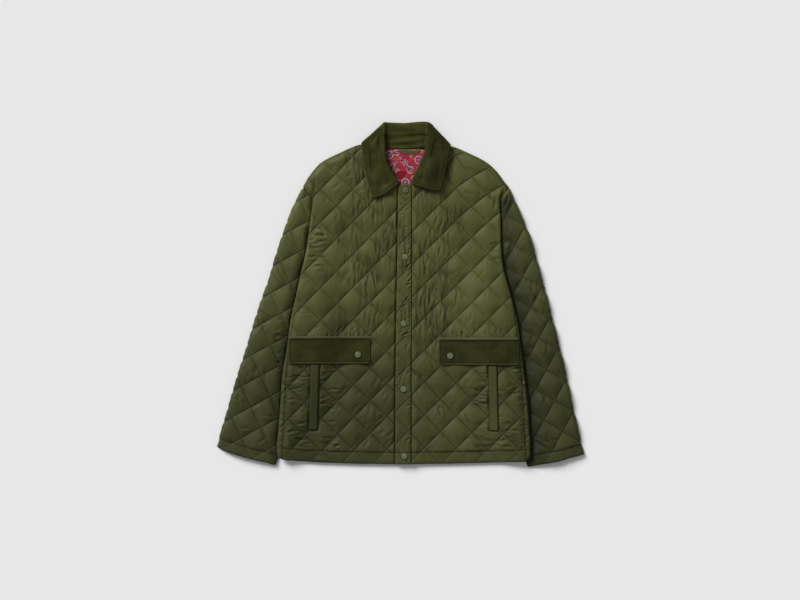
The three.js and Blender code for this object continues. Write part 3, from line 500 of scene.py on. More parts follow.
def hemGroove(x, y):
    wander = 0.5 * np.sin(x / 7) * np.sin(x / 31)
    return ridge((y - hemLine(x) - wander) / 1.4)


def creaseShade(x, y):
    return 0.14 * np.clip(-creaseHeight(x, y), 0, 2.5)


# Distance out from an outline, negative inside it
def distanceOut(outline, x, y):
    return -distanceIn(outline, x, y)[0]


# The roll of cloth along each armhole seam
def armholeRoll(x, y):
    near = np.minimum(np.abs(x - section("bodyL", y) - 5), np.abs(section("bodyR", y) - x - 5))
    return body["armholeRoll"] * ridge(near / 3.5) * smooth((y - 30) / 30) * smooth((228 - y) / 16)


def frontTop(quilt, sags, x, y, depth):
    a, b = lattice(quilt, x, sagged(x, y) if sags else y)
    puff = puffOf(a, b) * mix(0.2, 1, smooth(depth / 11))
    relief = mix(body["bandPuff"], 1, hemRelief(x, y))
    over = placketShape["overRise"] * smooth(1 - (x - 26) / 40) * smooth((x - 15) / 8)
    top = body["seamTop"] + over + body["puff"] * puff * relief + armholeRoll(x, y)
    top += creaseHeight(x, y) * np.clip(0.25 + puff, 0, 1)
    top -= body["hemStitchDepth"] * hemGroove(x, y)
    for welt in pocketWelts.values():
        out = distanceOut(weltOutline(welt), x, y)
        top = mix(np.minimum(top, body["seamTop"] + 0.3), top, smooth((out - 1.0) / 5))
    return lift(x, y) + top


# How the fronts' edges round over: at the side seams, where they are free, and where they are sewn on
frontEdges = {"seamRound": 2.4, "freeRound": 7.0, "sewnRound": 1.6, "seamClosing": 0.78, "freeClosing": 0.3,
              "sewnClosing": 0.93, "thinnest": 0.8}


def frontHeights(quilt, sags, underPlacket):
    def heights(x, y, depth):
        top = frontTop(quilt, sags, x, y, depth)
        if underPlacket:
            out = distanceOut(placketOutline, x, y)
            pressed = np.minimum(top, body["frontFloor"] + 0.9)
            top = mix(pressed, top, smooth((out - 1.2) / placketShape["shadowGap"]))
        floor = lift(x, y) + body["frontFloor"]
        hemward = smooth((hemLine(x) - 6 - y) / 12)
        neck = smooth((y - 236) / 20) * smooth(1 - (np.abs(x - 11) - 70) / 20)
        free = np.maximum(hemward, neck)
        seamClosing = mix(frontEdges["seamClosing"], frontEdges["sewnClosing"], smooth((y - 120) / 30))
        rounding = mix(frontEdges["seamRound"], frontEdges["freeRound"], free)
        closing = mix(seamClosing, frontEdges["freeClosing"], free)
        if not underPlacket:
            sewn = smooth((32 - x) / 3) * smooth((244 - y) / 6)
            rounding = mix(rounding, frontEdges["sewnRound"], sewn)
            closing = mix(closing, frontEdges["sewnClosing"], sewn)
        return np.maximum(top, floor + frontEdges["thinnest"]), floor, rounding, closing
    return heights


def frontTones(x, y, depth):
    # Painted shade in the hem groove and the creases, in the gap under the placket's free edge and in the
    # grooves beside the pocket welts
    tone = -body["hemShade"] * hemGroove(x, y) - creaseShade(x, y)
    tone -= 0.9 * smooth((2.6 - distanceOut(placketOutline, x, y)) / 1.8) * (x < 8)
    for welt in pocketWelts.values():
        out = distanceOut(weltOutline(welt), x, y)
        tone = np.minimum(tone, -0.6 * smooth((2.2 - np.abs(out - 0.6)) / 1.6))
    return mix(0.5, 1, hemRelief(x, y)), tone


def latticeOf(quilt, sags=False):
    return lambda x, y: lattice(quilt, x, sagged(x, y) if sags else y)


# The back is seen along its edge alone, where it turns up to the fronts' seams
backEdge = {"puff": 0.9, "seamDepth": 1.1, "seamShade": 0.35, "lit": 0.14}


def backHeights(x, y, depth):
    facing = distanceIn(facingOutline, x, y)[0]
    a, b = lattice(quilts["frontRight"], x, y)
    rim = body["seamTop"] + backEdge["puff"] * puffOf(a, b) + creaseHeight(x, y) - hemGroove(x, y)
    rim -= backEdge["seamDepth"] * ridge(facing / 2.5)
    covered = smooth(facing / 6)
    top = mix(rim, body["backWall"] - 0.1, covered)
    rounding = mix(9.0, 5.0, smooth((-352 - y) / 10))
    return lift(x, y) + top, lift(x, y), mix(rounding, 3.0, covered), mix(0.6, 0.5, covered)


def backTones(x, y, depth):
    # Painted light on the left side of the rim, and painted shade along the seam and in the hem groove
    lit = backEdge["lit"] * smooth((-200 - x) / 20) * smooth((100 - y) / 60)
    seam = ridge((distanceIn(facingOutline, x, y)[0] + 0.5) / 2.2)
    tone = lit - body["hemShade"] * hemGroove(x, y) - backEdge["seamShade"] * seam
    return mix(0.3, 1, hemRelief(x, y)), tone


jacket, outlines = {}, {}


# Makes the cloth that stands for a CAD node, and keeps its outline to be measured
def sew(node, name, outline, step, heights, uv=None, tones=None, slit=None):
    outlines[node] = outline
    jacket[node] = clothMesh(name, outline, step, heights, uv, tones, slit)


stitches = {name: latticeOf(quilt) for name, quilt in quilts.items()}
sew("back", "backPanel", bodyOutline, meshStep["back"], backHeights, stitches["frontRight"], backTones)
sew("front_right", "frontRight", frontRightOutline, meshStep["front"],
    frontHeights(quilts["frontRight"], False, True), stitches["frontRight"], frontTones)
sew("front_left", "frontLeft", frontLeftOutline, meshStep["front"],
    frontHeights(quilts["frontLeft"], True, False), latticeOf(quilts["frontLeft"], True), frontTones)
print("body panels made", [len(piece.data.polygons) * 2 for piece in jacket.values()])


def placketHeights(x, y, depth):
    a, b = lattice(quilts["frontLeft"], x, y)
    puff = puffOf(a, b) * mix(0.3, 1, smooth(depth / 7))
    relief = mix(body["bandPuff"], 1, hemRelief(x, y))
    top = placketShape["floor"] + placketShape["wall"] + placketShape["puff"] * puff * relief
    top += placketShape["creases"] * creaseHeight(x, y) - placketShape["hemStitch"] * hemGroove(x, y)
    for sx, sy in placketSnaps:
        away = np.hypot(x - sx, y - sy)
        top = mix(placketShape["floor"] + placketShape["snapTop"], top, smooth((away - 5.5) / 6))
    curl = placketShape["curl"] * smooth(1 - np.hypot(x + 1, y - 246) / 26)
    floor = placketShape["floor"] + curl
    sewn = smooth((x - 19) / 3) * smooth((244 - y) / 6)
    return top + curl, floor + 0 * x, mix(placketShape["edgeRound"], 1.6, sewn), mix(0.3, 0.93, sewn)


def placketTones(x, y, depth):
    edgeShade = placketShape["edgeShade"] * smooth((1.6 - np.abs(x - 25.5)) / 1.4) * smooth((243 - y) / 4)
    tone = -body["hemShade"] * hemGroove(x, y) - edgeShade - creaseShade(x, y)
    for sx, sy in placketSnaps:
        away = np.hypot(x - sx, y - sy)
        tone = np.minimum(tone, -placketShape["snapShade"] * smooth((8.7 - away) / 1.6))
    return mix(0.3, 0.8, hemRelief(x, y)), tone


sew("placket", "frontPlacket", placketOutline, meshStep["placket"], placketHeights, stitches["frontLeft"],
    placketTones)

sleeveShape = {
    "tucked": 8.0, "crown": 4.0, "puff": 4.6, "pinch": 1.8, "edgeRound": 8, "cuffBand": 24, "cuffStitch": 2.0,
    "fold": 5, "openCuff": 1.8, "openSleeve": 0.4, "hollowTop": 130,
}
# The gutter is the trough beside the body, with the body's shadow painted in it: how high up the painted
# shadow goes, how wide and dark it is, and how deep the trough is
sleeves = {
    "sleeve_right": {"name": "sleeveRight", "side": "L", "inward": 1, "cuff": cuffL, "corner": -332,
                     "gutterTop": 120, "gutterWide": 26, "gutterShadow": 0.5, "trough": 1.0},
    "sleeve_left": {"name": "sleeveLeft", "side": "R", "inward": -1, "cuff": cuffR, "corner": -350,
                    "gutterTop": 240, "gutterWide": 56, "gutterShadow": 0.78, "trough": 4.2},
}


def sleeveEdges(sleeve, y):
    return [section(f"{name}{sleeve['side']}", y) for name in ("outer", "tuck", "body")]


def sleeveOutline(sleeve):
    inward = sleeve["inward"]
    y = np.linspace(-368, 240, 46)
    outer, tuck, seam = sleeveEdges(sleeve, y)
    inner = mix(tuck, seam + 0.1 * inward, smooth((y - 112) / 40))
    far = np.array(edge(f"outer{sleeve['side']}", 235, sleeve["corner"], 220))
    a, b = lattice(quilts[sleeve["name"]], far[:, 0], far[:, 1])
    pinch = np.maximum(ridge((a - np.round(a)) / 0.07), ridge((b - np.round(b)) / 0.07))
    wavy = 0.5 * np.sin(far[:, 1] / 3.7) * np.sin(far[:, 1] / 11 + 1)
    far[:, 0] += inward * (sleeveShape["pinch"] * pinch + wavy) * smooth((225 - far[:, 1]) / 20)
    return [tuple(p) for p in far] + curve(sleeve["cuff"], 14) + list(zip(inner, y))


def cuffLine(sleeve, x):
    return heightAt(sleeve["cuff"], x) + sleeveShape["cuffBand"]


def sleeveHeights(sleeve):
    inward = sleeve["inward"]

    def heights(x, y, depth):
        outer, tuck, inner = sleeveEdges(sleeve, y)
        seen = inward * (x - outer) / np.abs(inner - outer)
        crown = sleeveShape["crown"] * np.sin(math.pi * np.clip(seen, 0, 1)) ** 0.8
        armhole = smooth((y - 120) / 20)
        bare = mix(1 - smooth((seen - 0.85) / 0.25), 1, armhole)
        puff = puffOf(*lattice(quilts[sleeve["name"]], x, y))
        puff = puff * mix(1, mix(0.2, 1, smooth(inward * (inner - x) / 11)), armhole)
        stitchLine = cuffLine(sleeve, x)
        relief = mix(body["bandPuff"], 1, bandRelief(y, stitchLine))
        quilted = sleeveShape["puff"] * puff * relief + creaseHeight(x, y)
        top = sleeveShape["tucked"] + crown + bare * quilted
        top -= sleeveShape["cuffStitch"] * ridge((y - stitchLine) / 1.8)
        inBody = distanceIn(bodyOutline, x, y)[0]
        top -= sleeve["trough"] * smooth((44 + inBody) / 40) * smooth((228 - y) / 30)
        under = lift(x, y) - 0.4 - 3.4 * smooth((90 - y) / 60) + 1.5 * np.maximum(0, -inBody)
        low = smooth((160 - y) / 25)
        top = mix(top, np.minimum(top, under), low)
        seam = smooth((seen - 0.7) / 0.2) * armhole
        rounding, closing = mix(sleeveShape["edgeRound"], 2.0, seam), mix(0.45, 0.92, seam)
        return np.maximum(top, 0.7), np.zeros(x.shape), rounding, closing
    return heights


def sleeveTones(sleeve):
    wide = sleeve["gutterWide"]

    def tones(x, y, depth):
        stitchLine = cuffLine(sleeve, x)
        # Painted shadow of the body on the sleeve beside it, and painted shade along the cuff's line of
        # stitching
        beside = smooth((wide - distanceOut(bodyOutline, x, y)) / (wide - 5))
        gutter = sleeve["gutterShadow"] * beside * smooth((sleeve["gutterTop"] - y) / 40)
        cuffStitchShade = ridge((y - stitchLine) / 1.5)
        return mix(0.3, 1, bandRelief(y, stitchLine)), np.maximum(-0.6 * cuffStitchShade - gutter, -0.9)
    return tones


# The slit between a sleeve's two layers, open at the cuff
def sleeveSlit(sleeve):
    inward = sleeve["inward"]

    def slit(x, y):
        outer, tuck, seam = sleeveEdges(sleeve, y)
        fromSides = np.minimum(inward * (x - outer), inward * (tuck - x)) - sleeveShape["fold"]
        fromCuff = y - heightAt(sleeve["cuff"], x)
        gap = mix(sleeveShape["openCuff"], sleeveShape["openSleeve"], smooth(fromCuff / 60))
        return np.minimum(fromSides, sleeveShape["hollowTop"] - y), gap
    return slit


for node, sleeve in sleeves.items():
    sew(node, sleeve["name"], sleeveOutline(sleeve), meshStep["sleeve"], sleeveHeights(sleeve),
        stitches[sleeve["name"]], sleeveTones(sleeve), sleeveSlit(sleeve))
print("sleeves made")

collar = {"standFloor": 12.1, "standWall": 2.2, "faceWall": 2.6, "leafFloor": 14.6, "leafWall": 3.6,
          "stitchIn": 5.5, "stitchDepth": 0.7, "rollRadius": 8, "dents": 3.4, "rumples": 1.7,
          "raisedR": 5, "raisedL": 2}
collarFace = [(400, 4.0), (389, 8.5), (384, 11.6), (377, 12.2), (358, 10.0), (326, 6.4)]
standOutline = [
    (-53, 357.7), (-53, 330), (-50, 308), (-43, 284), (-25, 259), (-12, 264), (-21, 280), (-33, 306),
    (-33, 327.6), (58, 327.6), (55, 315), (33, 268), (31, 262), (46, 258), (61, 278), (73, 306), (76, 330),
    (76, 357.7)]
leafFoldL = [(-36, 388), (-87, 341)]
leafSideL = [(-87, 341), (-85, 314), (-80, 280), (-72, 247), (-61, 214)]
leafHemL = [(-61, 214), (-32, 226), (0, 249)]
leafNeckL = [(0, 249), (-19, 280), (-31, 306), (-33, 332), (-34, 357.8)]
leafNeckR = [(61, 357.8), (61, 342), (53, 315), (31, 268), (24, 247)]
leafHemR = [(24, 247), (45, 241), (68, 234), (92, 231)]
leafSideR = [(92, 231), (98, 256), (104, 280), (111, 314), (114, 337)]
leafFoldR = [(114, 337), (82, 372), (61, 389), (11, 386)]


def joined(lines):
    outline = [lines[0][0][0]]
    for points, pieces in lines:
        outline += curve(points, pieces)[1:]
    return outline


leafOutline = (joined([(leafFoldL, 4), (leafSideL, 16), (leafHemL, 8), (leafNeckL, 16)])
               + joined([(leafNeckR, 16), (leafHemR, 8), (leafSideR, 16), (leafFoldR, 10)]))
# The outer edges of the leaf's two wings, which the line of stitching follows
wingEdgeL = curve(leafFoldL, 4) + curve(leafSideL, 16) + [(-32, 226), (-6, 246)]
wingEdgeR = [(30, 245)] + curve(leafHemR[1:], 6) + curve(leafSideR, 16) + [(82, 372), (63, 388)]


def faceHeight(y):
    return heightAt(collarFace, y)


def rumple(x, y):
    level = np.sin((y - 0.14 * x) / 2.7 + 0.6 * np.sin(x / 17)) * (0.55 + 0.45 * np.sin(x / 21 + 1))
    return collar["rumples"] * (0.75 * level * smooth((372 - y) / 14) + 0.35 * np.sin(x / 13 + y / 5))


def standHeights(x, y, depth):
    leaning = np.minimum(np.minimum(np.clip((x + 38) / 9, 0, 1), np.clip((64 - x) / 9, 0, 1)),
                         np.clip((y - 320) / 7.6, 0, 1))
    top = mix(collar["standFloor"] + collar["standWall"], faceHeight(y), leaning)
    under = mix(collar["standFloor"], faceHeight(y) - collar["faceWall"], leaning)
    top += rumple(x, y) * leaning
    seam = smooth((y - 350) / 3)
    return top, under, mix(2.2, 1.3, seam), mix(0.5, 0.95, seam)


def leafEdgeOut(x, y):
    return np.minimum(nearest(wingEdgeL, x, y)[0], nearest(wingEdgeR, x, y)[0])


def leafStitch(x, y):
    return ridge((leafEdgeOut(x, y) - collar["stitchIn"]) / 1.1) * smooth((350 - y) / 14)


def leafTones(x, y, depth):
    # Painted light on the flange outside the line of stitching, painted shade in its groove, and a slightly
    # darker line at the joint with the stand
    flangeLight = smooth((collar["stitchIn"] - 1 - leafEdgeOut(x, y)) / 2)
    joint = smooth((2.2 - np.abs(y - 358)) / 1.5) * (x > -32) * (x < 60)
    return 0.0, 0.08 * flangeLight - 0.22 * leafStitch(x, y) - 0.04 * joint


def standTones(x, y, depth):
    # Lighter below the seam with the leaf, and painted shade beside the left wing's inner edge
    shaded = smooth((-16 - x) / 16) * (y > 320)
    return 0.0, 0.1 - 0.1 * smooth((y - 354) / 3) - 0.5 * shaded


def leafHeights(x, y, depth):
    raisedR = collar["raisedR"] * smooth((x - 50) / 50) * smooth((345 - y) / 60)
    raisedL = collar["raisedL"] * smooth((-45 - x) / 40) * smooth((300 - y) / 60)
    raised = raisedR + raisedL
    flat = collar["leafFloor"] + collar["leafWall"] + raised
    dent = np.sin(x / 12 + y / 19) + 0.6 * np.sin(x / 9 - y / 14 + 1)
    within = smooth((y - 225) / 30)
    flat += collar["dents"] * dent * within * smooth((depth - 12) / 8) * smooth((368 - y) / 20)
    intoFace = np.minimum(smooth((x + 34.5) / 5), smooth((61.5 - x) / 5)) * smooth((y - 354) / 3)
    top = mix(flat, faceHeight(y) + 0.1 + rumple(x, y) * smooth((382 - y) / 12), intoFace)
    top -= collar["stitchDepth"] * leafStitch(x, y) * (1 - intoFace)
    roll = smooth((y - 351) / 7)
    under = mix(collar["leafFloor"] + raised, 0.0, roll)
    top = np.maximum(top, under + 0.8)
    rounding = mix(3.4, collar["rollRadius"], smooth((y - 372) / 8))
    seam = intoFace * smooth((364 - y) / 3)
    return top, under, mix(rounding, 1.3, seam), mix(mix(0.45, 0.5, roll), 0.985, seam)


sew("collar_stand", "collarStand", standOutline, meshStep["stand"], standHeights, tones=standTones)
sew("collar_leaf", "collarLeaf", leafOutline, meshStep["leaf"], leafHeights, tones=leafTones)
print("collar made")


# The flaps bridge the puffs of the front beneath them
def flapOutline(flap):
    left, right, top, bottom = flap["left"], flap["right"], flap["top"], flap["bottom"]
    atLeft, atRight = (10, 4) if flap["round"] > 0 else (4, 10)
    arc = [math.radians(turn) for turn in range(0, 91, 15)]
    low = [(left + atLeft - atLeft * math.cos(t), bottom + atLeft - atLeft * math.sin(t)) for t in arc]
    far = [(right - atRight + atRight * math.sin(t), bottom + atRight - atRight * math.cos(t)) for t in arc]
    return [(left, top)] + low + far + [(right, top)]


flapCloth = {"over": 12.1, "wall": 2.8, "edgeRound": 2.2, "stitchIn": 5.0, "stitchDepth": 0.9, "closing": 0.4,
             "hemHighlight": 0.4, "stitchShade": -0.35, "underWeltShade": -0.62}
flapWeltCloth = {"over": 12.1, "wall": 2.6, "edgeRound": 1.8, "closing": 0.4}
pocketWeltCloth = {"over": 9.0, "wall": 3.2, "edgeRound": 2.8, "closing": 0.4}


# Distance in from a flap's three free edges
def flapSides(flap, x, y):
    return np.minimum(np.minimum(x - flap["left"], flap["right"] - x), y - flap["bottom"])


def flapHeights(flap):
    def heights(x, y, depth):
        floor = lift(x, y) + flapCloth["over"]
        sides = flapSides(flap, x, y)
        groove = ridge((sides - flapCloth["stitchIn"]) / 1.2)
        swell = 0.5 * np.sin(x / 23 + flap["left"]) * np.sin((y - flap["bottom"]) / 19)
        top = floor + flapCloth["wall"] - flapCloth["stitchDepth"] * groove + swell * smooth((sides - 6) / 8)
        away = np.hypot(x - flap["snap"][0], y - flap["snap"][1])
        top = np.minimum(top, mix(floor + flapCloth["wall"] - 0.5, top, smooth((away - 5.5) / 5)))
        return top, floor, np.full(x.shape, flapCloth["edgeRound"]), flapCloth["closing"]
    return heights


def flapTones(flap):
    # Painted light along the flap's edges and its bottom hem, painted shade in the groove of its stitching and
    # under the welt above it
    def tones(x, y, depth):
        sides = flapSides(flap, x, y)
        groove = ridge((sides - flapCloth["stitchIn"]) / 1.1)
        low = smooth((flap["bottom"] + 4.6 - y) / 1.5)
        underWelt = smooth((y - flap["top"] + 4.2) / 1.4)
        rim = 0.1 * smooth((4.2 - sides) / 1.5)
        tone = rim + flapCloth["hemHighlight"] * low + flapCloth["stitchShade"] * groove
        return 0.0, tone * (1 - underWelt) + flapCloth["underWeltShade"] * underWelt
    return tones


def stripHeights(cloth):
    def heights(x, y, depth):
        floor = lift(x, y) + cloth["over"]
        return floor + cloth["wall"], floor, np.full(x.shape, cloth["edgeRound"]), cloth["closing"]
    return heights


# Painted light on the flap welts
def litWeltTones(x, y, depth):
    return 0.0, 0.12


# Darker all over, with painted shade where its edges round over
def pocketWeltTones(x, y, depth):
    return 0.0, -0.16 - 0.2 * smooth((3.2 - depth) / 2)


for node, flap in flapShapes.items():
    sew(node, node.replace("flap_", "pocketFlap_"), flapOutline(flap), meshStep["pocket"], flapHeights(flap),
        tones=flapTones(flap))
for node, (left, right, low, high) in flapWelts.items():
    corners = [(left, low), (right, low), (right, high), (left, high)]
    sew(node, node.replace("flap_welt", "flapWelt"), corners, meshStep["trim"], stripHeights(flapWeltCloth),
        stitches["frontRight"], litWeltTones)
for node, welt in pocketWelts.items():
    sew(node, node.replace("pocket_welt", "pocketWelt"), weltOutline(welt), meshStep["pocket"],
        stripHeights(pocketWeltCloth), stitches["frontRight"], pocketWeltTones)
print("pockets made")

liningShape = {"floor": 4.3, "wall": 1.0, "step": 0.55, "pleat": 0.9}
liningEdge = [(-46, 326.6), (-44, 300), (-32, 268), (-10, 236), (30, 236), (52, 262), (66, 296), (69, 326.6)]
loopShape = {"floor": 5.7, "wall": 1.4, "half": 3.2, "back": 7.5}
loopLine = curve([(-4, 325), (5, 321), (20, 318), (36, 320), (46, 324)], 20)
loopOutline = [(x, y - loopShape["half"]) for x, y in loopLine] + [
    (x, min(y + loopShape["back"], 329.5)) for x, y in loopLine[::-1]]


# The back of a pleat shows as a plain patch a little below the rest
pleatPatch = [(-7, 273), (-1, 276.5), (11, 275.5), (15.5, 270.5), (3.5, 258), (-4, 260)]


def liningFold(x, y):
    return distanceOut(pleatPatch, x, y)


def liningHeights(x, y, depth):
    wave = 0.25 * np.sin(x / 9 + y / 14) + 0.2 * np.sin(y / 8 - x / 21)
    pleat = liningShape["pleat"] * smooth((liningFold(x, y) + 1) / 2)
    top = liningShape["floor"] + liningShape["wall"] + wave + pleat - 0.2
    return top, np.full(x.shape, liningShape["floor"]), np.full(x.shape, 1.0), 0.5


def loopHeights(x, y, depth):
    sunk = 1.5 * smooth((y - 323.5) / 4)
    floor = loopShape["floor"] - sunk
    return floor + loopShape["wall"], floor, np.full(x.shape, 1.6), 0.5


# Painted light on the loop's lower rim and painted shade on its upper part, under the collar stand
def loopTones(x, y, depth):
    return 0.0, 0.1 - 0.6 * smooth((depth - 2.2) / 3)


sew("lining_back", "neckLining", curve(liningEdge, 40), liningShape["step"], liningHeights)
sew("hanger_loop", "hangerLoop", loopOutline, meshStep["trim"], loopHeights, stitches["frontRight"], loopTones)

# The print of the lining: drops, rosettes and sprigs of our own, set unevenly over a red ground
printColours = {
    "ground": (0.27, 0.0185, 0.0405), "deep": (0.13, 0.006, 0.018), "wine": (0.19, 0.004, 0.016),
    "cream": (0.58, 0.42, 0.36), "navy": (0.030, 0.022, 0.060), "rose": (0.42, 0.06, 0.10),
    "lilac": (0.20, 0.13, 0.24), "gold": (0.50, 0.27, 0.12),
}
# Kind, middle, size and turn in degrees
motifs = [
    ("rosette", -24, 314, 11, 0), ("drop", -8, 319, 15, 115), ("rosette", 42, 303, 11, 0),
    ("drop", -19, 290, 17, 195), ("sprig", 12, 297, 8, 30), ("drop", 24, 280, 17, 70),
    ("rosette", 12, 252, 11, 0), ("sprig", -6, 279, 6.5, 10), ("drop", 31, 262, 13, 330),
    ("sprig", 31, 322, 6, 45), ("rosette", -2, 262, 6, 0), ("drop", 56, 282, 15, 160),
    ("sprig", 25, 312, 4.5, 60), ("drop", -41, 300, 14, 250), ("rosette", 62, 318, 9, 0),
    ("sprig", 49, 322, 5, 20), ("sprig", 1, 307, 4.5, 0), ("sprig", -8, 297, 4, 50),
    ("sprig", 40, 284, 4.5, 15), ("rosette", -30, 268, 9, 0),
]
dropBands = [(1.34, "gold"), (1.2, "deep"), (1.08, "cream"), (0.93, "navy"), (0.6, "rose"), (0.36, "navy")]


# Each motif gives where it lies and in which colour, from its outside inwards. u runs across it and
# v along it, both in its own size.
def drop(u, v):
    bent = u - 0.5 * np.clip(v, 0, 1) ** 2
    half = np.where(v < 0, np.sqrt(np.clip(0.16 - v * v, 0, 1)), 0.4 * np.clip(1 - v / 0.85, 0, 1) ** 0.75)
    ratio = np.abs(bent) / np.maximum(half, 1e-3) + np.where((v < -0.4) | (v > 0.85), 9, 0)
    rays = np.sin(14 * np.arctan2(v, bent))
    return [(ratio < limit, name) for limit, name in dropBands] + [
        ((ratio > 0.62) & (ratio < 0.9) & (rays > 0.35), "lilac"), (np.hypot(bent, v + 0.08) < 0.08, "cream")]


def rosette(u, v):
    r, angle = np.hypot(u, v), np.arctan2(v, u)
    return [
        (r < 0.82 + 0.04 * np.cos(14 * angle), "cream"), (r < 0.70, "deep"),
        ((r > 0.42) & (r < 0.66) & (np.cos(9 * angle) > 0.1), "rose"),
        (r < 0.36 + 0.09 * np.cos(6 * angle), "lilac"), (r < 0.2, "navy"), (r < 0.1, "cream")]


def sprig(u, v):
    r, petals = np.hypot(u, v), np.cos(5 * np.arctan2(v, u))
    return [(r < 0.62 + 0.26 * petals, "cream"), (r < 0.48 + 0.22 * petals, "navy"), (r < 0.24, "lilac"),
            (r < 0.12, "cream")]


# Paints the print into the print attribute, with painted shade under the pleat's edge and beside the left leaf
def paintPrintAndShade(piece):
    mesh = piece.data
    points = np.empty(len(mesh.vertices) * 3)
    mesh.vertices.foreach_get("co", points)
    points = points.reshape(-1, 3) * 1000 - (layout["moveX"], layout["moveY"], 0)
    x, y = points[:, 0], points[:, 1]
    stem = np.abs((y + 7 * np.sin(x / 6.0)) % 26 - 13)
    marks = [(stem < 0.5, "deep"), ((np.abs(stem - 1.6) < 0.5) & (np.sin(x * 1.9) > 0.35), "gold")]
    for kind, mx, my, size, turn in motifs:
        t = math.radians(turn)
        u = ((x - mx) * math.cos(t) + (y - my) * math.sin(t)) / size
        v = (-(x - mx) * math.sin(t) + (y - my) * math.cos(t)) / size
        marks += {"drop": drop, "rosette": rosette, "sprig": sprig}[kind](u, v)
    fold = liningFold(x, y)
    colour = np.tile(np.array(printColours["ground"]), (len(x), 1))
    for where, name in marks + [(fold < 0, "wine")]:
        colour[where] = printColours[name]
    # Shade under the pleat's edge and beside the left leaf
    colour *= mix(0.5, 1, smooth(np.abs(fold + 0.6) / 1.6))[:, None]
    colour *= mix(0.5, 1, smooth((x + 40 - 0.35 * (330 - y)) / 24))[:, None]
    layer = mesh.color_attributes.new(name="print", type="FLOAT_COLOR", domain="POINT")
    layer.data.foreach_set("color", np.concatenate([colour, np.ones((len(x), 1))], 1).ravel())


paintPrintAndShade(jacket["lining_back"])
print("lining printed")

# A snap cap: a flat disc with a sunk ring inside a rolled rim
snapShape = {
    "radius": 6.8, "sunk": 1.2, "over": 1.5, "sides": 48, "seat": 12.3, "bevel": 0.25, "bevelAngle": 25,
    "steps": ((1.5, 0.3), (0.3, -0.35), (0.7, 0), (0.3, 0.3), (1.5, 0.1)),  # how far in, and up from there
}


def snapMesh():
    mm = 0.001
    bpy.ops.object.select_all(action="DESELECT")
    wall = (snapShape["sunk"] + snapShape["over"]) * mm
    bpy.ops.mesh.primitive_cylinder_add(vertices=snapShape["sides"], radius=snapShape["radius"] * mm,
                                        depth=wall, location=(0, 0, wall / 2))
    cap = bpy.context.object
    bpy.ops.object.mode_set(mode="EDIT")
    bpy.ops.mesh.select_all(action="DESELECT")
    bpy.ops.object.mode_set(mode="OBJECT")
    for face in cap.data.polygons:
        face.select = face.normal.z > 0.9
    bpy.ops.object.mode_set(mode="EDIT")
    bpy.ops.mesh.select_mode(type="FACE")
    for inward, up in snapShape["steps"]:
        bpy.ops.mesh.inset(thickness=inward * mm)
        if up:
            bpy.ops.transform.translate(value=(0, 0, up * mm))
    bpy.ops.object.mode_set(mode="OBJECT")
    bevel = cap.modifiers.new("soft edges", "BEVEL")
    bevel.width, bevel.segments = snapShape["bevel"] * mm, 2
    bevel.limit_method, bevel.angle_limit = "ANGLE", math.radians(snapShape["bevelAngle"])
    bpy.ops.object.modifier_apply(modifier=bevel.name)
    bpy.ops.object.shade_smooth_by_angle(angle=math.radians(35))
    bpy.ops.object.transform_apply(location=True, rotation=True, scale=True)
    return cap


def placeSnaps():
    first = snapMesh()
    spots = {f"placket_snap_{k + 1}": (x, y, snapShape["seat"]) for k, (x, y) in enumerate(placketSnaps)}
    for side in ("right", "left"):
        x, y = flapShapes[f"flap_{side}"]["snap"]
        rise = float(lift(np.array([x]), np.array([y]))[0])
        spots[f"flap_snap_{side}"] = (x, y, flapCloth["over"] + flapCloth["wall"] + rise)
    for node, (x, y, seat) in spots.items():
        mesh = first.data.copy()
        place = (x + layout["moveX"], y + layout["moveY"], seat - snapShape["sunk"])
        mesh.transform(Matrix.Translation([value / 1000 for value in place]))
        cap = bpy.data.objects.new(node.replace("_snap_", "Snap_"), mesh)
        bpy.context.collection.objects.link(cap)
        jacket[node] = cap
    bpy.data.objects.remove(first)


placeSnaps()
print("snaps made")


# Shader maths: a wire is a socket that adds, subtracts and multiplies like a number
class Wire:
    def __init__(self, tree, socket):
        self.tree, self.socket = tree, socket

    def maths(self, operation, *values):
        return self.tree.node("ShaderNodeMath", {"operation": operation}, dict(enumerate(values)))

    def __add__(self, other):
        return self.maths("ADD", self, other)

    def __radd__(self, other):
        return self.maths("ADD", other, self)

    def __sub__(self, other):
        return self.maths("SUBTRACT", self, other)

    def __rsub__(self, other):
        return self.maths("SUBTRACT", other, self)

    def __mul__(self, other):
        return self.maths("MULTIPLY", self, other)

    def __rmul__(self, other):
        return self.maths("MULTIPLY", other, self)

    def __abs__(self):
        return self.maths("ABSOLUTE", self)

    def wave(self):
        return self.maths("SINE", self)

    def atLeast(self, other):
        return self.maths("MAXIMUM", self, other)

    def atMost(self, other):
        return self.maths("MINIMUM", self, other)

    def fade(self, start, end):
        return self.tree.node("ShaderNodeMapRange", {"interpolation_type": "SMOOTHSTEP"},
                              {0: self, 1: start, 2: end, 3: 0.0, 4: 1.0})


